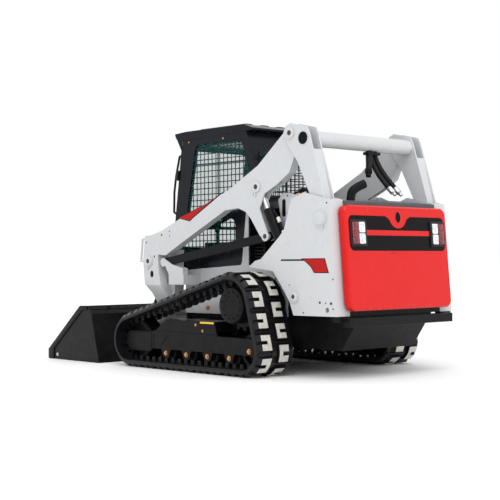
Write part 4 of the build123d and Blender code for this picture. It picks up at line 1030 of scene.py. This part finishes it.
def make_track(name, side, tread):
    """One rubber track: the belt, C-shaped lugs, ridges between them, centre cleats and guide teeth."""
    form = bmesh.new()
    add_belt(form, side)
    for mesh, phase, number in tread:
        for index in range(LUGS * number):
            lay_on_belt(form, mesh, (index / number + phase) * BELT_LENGTH / LUGS, side)
    belt = link_piece(f"dressed_track_{name}", form, ["rubber", "lug_face"], "chassis", smooth=25.0)
    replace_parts(belt, f"track_{name}")


def idler_profile(radius):
    """Radius and y of an idler's section, from its hub's outer face to its inner one."""
    return [(0.0, 0.838), (0.056, 0.838), (0.060, 0.834), (0.062, 0.812), (radius - 0.038, 0.806),
            (radius - 0.034, 0.836), (radius - 0.030, 0.840), (radius - 0.010, 0.840), (radius, 0.830),
            (radius, 0.700), (radius - 0.010, 0.690), (0.0, 0.690)]


def turn_wheels(shapes, side):
    """One side's idlers and rollers on their axles, with the bolts on the track frame."""
    rear, front = WHEELS[0][0], WHEELS[1][0]
    for centre, radius in ((front, FRONT_IDLER), (rear, REAR_IDLER)):
        add_wheel(shapes["turned_idlers"], idler_profile(radius), centre, side)
        add_disc(shapes["turned_idlers"], centre, *AXLE, 0.024, side)
    for x in ROLLERS:
        centre = (x, ROLLER_HEIGHT)
        add_wheel(shapes["turned_rollers"], ROLLER_PROFILE, centre, side)
        add_disc(shapes["turned_rollers"], centre, *AXLE, 0.024, side)
        add_side_bolt(shapes["axle_bolts"], centre, FRAME_FACE, side, 0.014)
    add_side_bolt(shapes["axle_bolts"], rear, FRAME_FACE, side, 0.015)


def turn_sprocket(shapes, side):
    """One side's sprocket hub with its toothed rim and ring of bolts."""
    drive = WHEELS[2][0]
    teeth = []
    for tooth in range(SPROCKET_TEETH):
        for reach, turn in TOOTH:
            teeth.append(round_place(drive, reach, 360 * tooth / SPROCKET_TEETH + turn))
    add_wheel(shapes["sprocket_hubs"], HUB_PROFILE, drive, side)
    add_plate(shapes["sprocket_hubs"], teeth, 0.735, 0.795, side_matrix(0.0, side), bevel=0.003)
    for index in range(HUB_BOLTS):
        place = round_place(drive, 0.107, 360 * (index + 0.5) / HUB_BOLTS)
        add_side_bolt(shapes["sprocket_hub_bolts"], place, 0.924, side, 0.008, washer=False)


def dress_track_frame(shapes, side):
    """Weld seams, the yellow plate and the small bolts on one side's track frame."""
    for start, end in FRAME_WELDS:
        ends = [(x, side * FRAME_FACE, z) for x, z in (start, end)]
        add_rod(shapes["track_frame_welds"], *ends, 0.003, 8)
    add_plate(shapes["track_frame_plates"], FRAME_PLATE, 0.0, FILM, side_matrix(FRAME_FACE, side))
    for place in FRAME_BOLTS:
        add_side_bolt(shapes["track_frame_bolts"], place, FRAME_FACE, side, 0.008)


class LOADER_OT_tracks(bpy.types.Operator):
    """Makes the rubber tracks with their C-shaped lugs, and finishes their frames, wheels and bolts."""

    bl_idname = "loader.tracks"
    bl_label = "Tracks"

    def execute(self, context):
        tread = tread_meshes()
        shapes = Shapes()
        for name, side in SIDES:
            make_track(name, side, tread)
            soften(f"track_frame_{name}", "black", "chassis", 0.004)
            turn_wheels(shapes, side)
            turn_sprocket(shapes, side)
            dress_track_frame(shapes, side)
        for mesh, _, _ in tread:
            bpy.data.meshes.remove(mesh)
        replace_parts(shapes.link("chassis", turned_idlers="cast"), "track_idlers")
        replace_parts(shapes.link("chassis", turned_rollers="cast"), "track_rollers")
        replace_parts(shapes.link("chassis", sprocket_hubs="cast"), "drive_sprockets")
        shapes.link("chassis", axle_bolts="bolt", sprocket_hub_bolts="cast")
        shapes.link("chassis", smooth=60.0, track_frame_welds="black")
        shapes.link("chassis", track_frame_plates="yellow", track_frame_bolts="bolt")
        return {"FINISHED"}


def dress_arm(shapes, side):
    """Pin bosses, keepers, black ovals of painted shade for the holes, and the red flash on one lift arm."""
    for pin, radius, low, high in ARM_BOSSES:
        top = ARM_FACE + high
        add_disc(shapes["arm_bosses"], PINS[pin], ARM_FACE + low, top, radius, side, 40, 0.003)
        add_disc(shapes["arm_pin_ends"], PINS[pin], top - 0.004, top + 0.003, 0.020, side, 24, 0.002)
        if pin != "arm_lug":
            x, z = PINS[pin]
            keeper = (x + 0.016, side * (ARM_FACE + 0.004), z - 0.058)
            add_block(shapes["arm_bosses"], keeper, (0.020, 0.010, 0.034), 0.003)
    place = side_matrix(ARM_FACE, side)
    # Black ovals of painted shade where the arm's holes show its dark inside
    for width, height, centre in ARM_HOLES:
        add_plate(shapes["arm_holes"], oval(width, height, centre), -0.002, FILM, place)
    add_plate(shapes["arm_flash_edge"], FLASH_EDGE, -FILM / 2, FILM, place)
    add_plate(shapes["arm_flash"], FLASH, -FILM / 2, 2 * FILM, place)


def dress_link(shapes, side):
    """The top pin's boss, and a black disc of painted shade in the cross tube's open end, on one side of the
    rear link.
    """
    top = PINS["link_top"]
    add_disc(shapes["link_bosses"], top, LINK_FACE - 0.001, LINK_FACE + 0.012, 0.046, side, 40, 0.004)
    add_disc(shapes["link_pin_ends"], top, LINK_FACE + 0.008, LINK_FACE + 0.015, 0.020, side, 24, 0.002)
    add_disc(shapes["link_bosses"], CROSS_TUBE, LINK_FACE - 0.001, LINK_FACE + 0.003, 0.057, side, 48, 0.001)
    # A black disc of painted shade in the tube's open end
    add_disc(shapes["cross_tube_openings"], CROSS_TUBE, LINK_FACE, LINK_FACE + 0.004, 0.049, side, 48)


def pipe_lift_cylinder(shapes, side):
    """The pipe behind one lift cylinder's barrel, from end to end, with two fittings."""
    base, rod = (Vector((PINS[pin][0], 0, PINS[pin][1])) for pin in ("cylinder_base", "cylinder_rod"))
    along = (rod - base).normalized()
    behind = Vector((-along.z, 0, along.x))
    start = base + Vector((0, side * 0.616, 0))
    line = [start + along * reach + behind * away for reach, away in CYLINDER_PIPE]
    add_tube(shapes["cylinder_pipes"], smooth_path(line), 0.009)
    for span in CYLINDER_FITTINGS:
        low, high = (line[2] + along * (reach - CYLINDER_PIPE[2][0]) for reach in span)
        add_rod(shapes["cylinder_pipe_fittings"], low, high, 0.015, 18, bevel=0.002)


class LOADER_OT_linkage(bpy.types.Operator):
    """Paints the arms, links and cylinders, with their pin heads, painted shade in their openings, stripes
    and pipes.
    """

    bl_idname = "loader.linkage"
    bl_label = "Lift linkage"

    def execute(self, context):
        edge = context.scene.loader_look.edge
        for name, _ in SIDES:
            soften(f"lift_arm_{name}", "white", "lift_arms", edge)
        for node, material, body, width in (
            ("arm_cross_member", "white", "lift_arms", 0.002),
            ("rear_link", "white", "rear_link", edge),
            ("control_links", "black", "control_links", 0.004),
            ("lift_cylinder_barrels", "black", "lift_barrels", 0.003),
            ("tilt_cylinder_barrels", "black", "tilt_barrels", 0.003),
            ("lift_cylinder_rods", "chrome", "lift_rods", 0.001),
            ("tilt_cylinder_rods", "chrome", "tilt_rods", 0.001),
        ):
            soften(node, material, body, width)

        shapes = Shapes()
        for _, side in SIDES:
            dress_arm(shapes, side)
            dress_link(shapes, side)
            pipe_lift_cylinder(shapes, side)
        shapes.link("lift_arms", arm_bosses="white", arm_pin_ends="pin", arm_holes="decal_black",
                    arm_flash_edge="decal_black", arm_flash="decal_red")
        shapes.link("rear_link", link_bosses="white", link_pin_ends="pin", cross_tube_openings="decal_black")
        shapes.link("lift_barrels", smooth=60.0, cylinder_pipes="hose")
        shapes.link("lift_barrels", cylinder_pipe_fittings="ivory")
        return {"FINISHED"}


def span_inside(outline, at, along):
    """Lowest and highest crossing of an outline by a line at a place along x (0) or z (1), or None."""
    crossings = []
    for first, second in zip(outline, outline[1:] + outline[:1]):
        a, b = first[along], second[along]
        if (a - at) * (b - at) < 0:
            share = (at - a) / (b - a)
            crossings.append(first[1 - along] + share * (second[1 - along] - first[1 - along]))
    return (min(crossings), max(crossings)) if len(crossings) > 1 else None


def add_wires(form, outline, place, pitch, radius):
    """A wire grid that ends on an outline; place makes a point of x, z in the grid's plane."""
    for along in (0, 1):
        low, high = min(p[along] for p in outline), max(p[along] for p in outline)
        at = low + pitch / 2
        while at < high:
            reach = span_inside(outline, at, along)
            if reach is not None:
                ends = [(at, r) if along == 0 else (r, at) for r in reach]
                add_rod(form, place(*ends[0]), place(*ends[1]), radius, 6)
            at += pitch


def screen_windows(look):
    """Wire screens on both sides' windows and behind the rear window."""
    shapes = Shapes()
    wires = shapes["window_wire_screens"]
    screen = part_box("side_screens")[1].y - 0.004
    for _, side in SIDES:
        for outline in (UPPER_WINDOW, LOWER_WINDOW):
            add_wires(wires, outline, lambda x, z: (x, side * screen, z), look.mesh_pitch, look.wire)
    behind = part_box("rear_window")[0].x - 0.008
    add_wires(wires, REAR_WINDOW, lambda y, z: (behind, y, z), look.mesh_pitch, look.wire)
    shapes.link("chassis", smooth=60.0, window_wire_screens="wire")


def cushion(name, centre, size, crown, facing, grooves):
    """A padded block with a crowned face, pulled-in sides, a piped edge and sewn channels."""
    form = bmesh.new()
    bmesh.ops.create_cube(form, size=2.0)
    bmesh.ops.subdivide_edges(form, edges=form.edges[:], cuts=27, use_grid_fill=True)
    half = Vector(size) / 2
    corner = 0.030
    for vert in form.verts:
        unit = vert.co.copy()
        place = Vector(u * h for u, h in zip(unit, half))
        core = Vector(max(-h + corner, min(h - corner, p)) for p, h in zip(place, half))
        away = place - core
        if away.length > 0:
            place = core + away.normalized() * corner
        dome = (1 - unit.x ** 4) * (1 - unit.y ** 4)
        if unit.z > 0.99:
            place.z += crown * (dome - 1)
            for groove in grooves:
                place.z -= 0.007 * math.exp(-((place.x - groove) / 0.009) ** 2)
        waist = 1 - 0.035 * (1 - unit.z ** 2)
        place.x *= waist
        place.y *= waist
        vert.co = place
    turn = Vector(facing).to_track_quat("Z", "X").to_matrix().to_4x4()
    turn.translation = Vector(centre)
    bmesh.ops.transform(form, matrix=turn, verts=form.verts)
    pad = link_piece(name, form, "vinyl", "chassis", smooth=60.0)
    return pad


def make_seat():
    """The seat's cushion and backrest, on a bellows base with a back plate."""
    pad = cushion("seat_cushion", (-0.150, 0, 0.960), (0.410, 0.420, 0.115), 0.016, (0, 0, 1), (-0.06, 0.08))
    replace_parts(pad, "seat")
    cushion("seat_backrest", (-0.330, 0, 1.250), (0.440, 0.400, 0.105), 0.014, (1, 0, 0), (-0.12, 0.0, 0.12))
    shapes = Shapes()
    base = shapes["seat_base"]
    add_block(base, (-0.180, 0, 0.846), (0.290, 0.290, 0.104), 0.010)
    for height in (0.815, 0.845, 0.875):
        add_block(base, (-0.180, 0, height), (0.310, 0.310, 0.014), 0.006)
    add_block(base, (-0.395, 0, 1.180), (0.022, 0.300, 0.380), 0.008)
    shapes.link("chassis", seat_base="plastic")


def fit_cab(shapes, side):
    """One side's lever grip, work lamp and frame screws."""
    grip = shapes["lever_grips"]
    top = (0.066, side * 0.308, 1.235)
    add_rod(grip, (0.060, side * 0.310, 1.150), top, 0.019, 20, bevel=0.006, tip=0.024)
    add_rod(grip, (0.066, side * 0.308, 1.228), (0.068, side * 0.308, 1.262), 0.026, 20, bevel=0.008)
    add_block(shapes["work_lamp_housings"], (0.509, side * 0.300, 2.014), (0.028, 0.112, 0.044), 0.006)
    add_block(shapes["work_lamp_lenses"], (0.526, side * 0.300, 2.014), (0.012, 0.100, 0.034), 0.004)
    for place in CAB_SCREWS:
        add_disc(shapes["cab_frame_screws"], place, 0.429, 0.432, 0.008, side, 12, 0.001)


class LOADER_OT_cab(bpy.types.Operator):
    """Finishes the cab: frame, ribbed roof, glass, wire screens, seat, levers and lamps."""

    bl_idname = "loader.cab"
    bl_label = "Cab"

    def execute(self, context):
        for node, material, body, width, segments in (
            ("cab_frame", "cab_black", "chassis", 0.010, 3),
            ("cab_roof", "cab_black", "chassis", 0.016, 3),
            ("cab_door", "cab_black", "cab_door", 0.004, 2),
            ("seat_bar", "black", "chassis", 0.002, 2),
            ("control_consoles", "plastic", "chassis", 0.012, 3),
            ("side_screens", "wire", "chassis", 0.001, 2),
        ):
            soften(node, material, body, width, segments)
        for node in ("door_glass", "side_windows", "rear_window"):
            paint(node, "glass")

        screen_windows(context.scene.loader_look)
        make_seat()
        shapes = Shapes()
        for _, side in SIDES:
            fit_cab(shapes, side)
        latch = rounded(0.050, 0.090, 0.006, (0.425, 0.700))
        add_plate(shapes["door_latch"], latch, 0.004, 0.030, door_matrix(), bevel=0.003)
        shapes.link("chassis", lever_grips="plastic")
        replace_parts(shapes.link("chassis", work_lamp_housings="plastic"), "work_lamps")
        shapes.link("chassis", work_lamp_lenses="clear_lens", cab_frame_screws="bolt")
        shapes.link("cab_door", door_latch="plastic")
        return {"FINISHED"}


def key_tab():
    """Outline of the red tab round the key hole: wide at the top, a round tongue below."""
    tongue = [(0.104 * math.cos(a), KEY_HOLE + 0.010 + 0.096 * math.sin(a))
              for a in (math.radians(200 + 140 * step / 16) for step in range(17))]
    shoulder = [(0.118, 0.704), (0.142, 0.716), (0.170, 0.722)]
    return [(-x, z) for x, z in reversed(shoulder)] + tongue + shoulder


def fit_tail_lamp(shapes, gate, side):
    """One tail lamp: housing, red lens outside, two clear cells inside."""
    housing = rounded(0.184, 0.206, 0.014, (side * 0.474, GATE_BAND))
    add_plate(shapes["tail_lamp_housings"], housing, 0.0003, 0.012, gate, bevel=0.004)
    red = rounded(0.066, 0.166, 0.008, (side * 0.514, GATE_BAND))
    add_plate(shapes["tail_lamp_red_lenses"], red, 0.010, 0.018, gate, bevel=0.003)
    for row in (-1, 1):
        cell = rounded(0.066, 0.080, 0.008, (side * 0.440, GATE_BAND + row * 0.043))
        add_plate(shapes["tail_lamp_clear_lenses"], cell, 0.010, 0.018, gate, bevel=0.003)


class LOADER_OT_tailgate(bpy.types.Operator):
    """Finishes the tailgate: red panel, black band with its lamps and stripe, key tab and small screws."""

    bl_idname = "loader.tailgate"
    bl_label = "Tailgate"

    def execute(self, context):
        gate = gate_matrix()
        soften("tailgate", "red", "tailgate", 0.010, 4)
        soften("tailgate_panel", "panel_black", "tailgate", 0.001)

        shapes = Shapes()
        stripe = rounded(0.756, 0.040, 0.002, (0.0, GATE_BAND + 0.004))
        add_plate(shapes["tail_stripe"], stripe, -0.0010, 0.0012, gate)
        add_plate(shapes["tail_key_tab"], key_tab(), -0.0010, 0.0016, gate)
        add_plate(shapes["tail_key_rim"], oval(0.078, 0.104, (0.0, KEY_HOLE)), 0.0, 0.0040, gate, bevel=0.002)
        # The key hole is a black oval of painted shade; the small black ovals are screws
        add_plate(shapes["tail_key_hole"], oval(0.060, 0.084, (0.0, KEY_HOLE)), 0.0, 0.0048, gate)
        for place in GATE_SCREWS:
            add_plate(shapes["tail_key_hole"], oval(0.008, 0.008, place, 12), -0.001, 0.0008, gate)
        for _, side in reversed(SIDES):
            fit_tail_lamp(shapes, gate, side)
        shapes.link("tailgate", tail_stripe="red", tail_key_tab="red", tail_key_rim="red",
                    tail_key_hole="decal_black")
        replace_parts(shapes.link("tailgate", tail_lamp_housings="plastic"), "tail_lamps")
        shapes.link("tailgate", tail_lamp_red_lenses="red_lens", tail_lamp_clear_lenses="clear_lens")
        return {"FINISHED"}


class LOADER_OT_bucket(bpy.types.Operator):
    """Finishes the bucket, its edge and the quick coupler."""

    bl_idname = "loader.bucket"
    bl_label = "Bucket"

    def execute(self, context):
        soften("bucket", "bucket", "bucket", 0.003)
        soften("quick_coupler", "bucket", "bucket", 0.003)
        soften("cutting_edge", "worn_steel", "bucket", 0.002)

        shapes = Shapes()
        for _, side in SIDES:
            place = side_matrix(BUCKET_SIDE, side)
            add_plate(shapes["bucket_side_strips"], WEAR_STRIP, 0.0, 0.0105, place, bevel=0.002)
            add_side_bolt(shapes["bucket_side_bolts"], (1.600, 0.045), BUCKET_SIDE + 0.0005, side, 0.011)
        for y in (-0.72, 0.0, 0.72):
            add_block(shapes["bucket_back_ribs"], (1.100, y, 0.492), (0.050, 0.012, 0.018), 0.003)
        add_block(shapes["bucket_back_ribs"], (1.104, 0.0, 0.470), (0.030, 1.850, 0.016), 0.004)
        shapes.link("bucket", bucket_side_strips="bucket", bucket_back_ribs="bucket",
                    bucket_side_bolts="silver")
        return {"FINISHED"}


class LOADER_PT_panel(bpy.types.Panel):
    """Lists the loader's finishing steps."""

    bl_idname = "LOADER_PT_panel"
    bl_label = "Compact track loader"
    bl_space_type = "VIEW_3D"
    bl_region_type = "UI"
    bl_category = "Loader"

    def draw(self, context):
        look = context.scene.loader_look
        for name in ("white", "red", "black", "cab", "lug", "edge", "mesh_pitch", "wire"):
            self.layout.prop(look, name)
        for step in STEPS:
            self.layout.operator(step.bl_idname)


STEPS = (
    LOADER_OT_finishes,
    LOADER_OT_stage,
    LOADER_OT_hoses,
    LOADER_OT_bodywork,
    LOADER_OT_tracks,
    LOADER_OT_linkage,
    LOADER_OT_cab,
    LOADER_OT_tailgate,
    LOADER_OT_bucket,
)
CLASSES = (LoaderLook, *STEPS, LOADER_PT_panel)


def register():
    for cls in CLASSES:
        bpy.utils.register_class(cls)
    bpy.types.Scene.loader_look = PointerProperty(type=LoaderLook)


def unregister():
    del bpy.types.Scene.loader_look
    for cls in reversed(CLASSES):
        bpy.utils.unregister_class(cls)


def main():
    register()
    bpy.ops.loader.finishes()
    bpy.ops.loader.stage()
    bpy.ops.loader.hoses()
    bpy.ops.loader.bodywork()
    bpy.ops.loader.tracks()
    bpy.ops.loader.linkage()
    bpy.ops.loader.cab()
    bpy.ops.loader.tailgate()
    bpy.ops.loader.bucket()


if __name__ == "__main__":
    main()
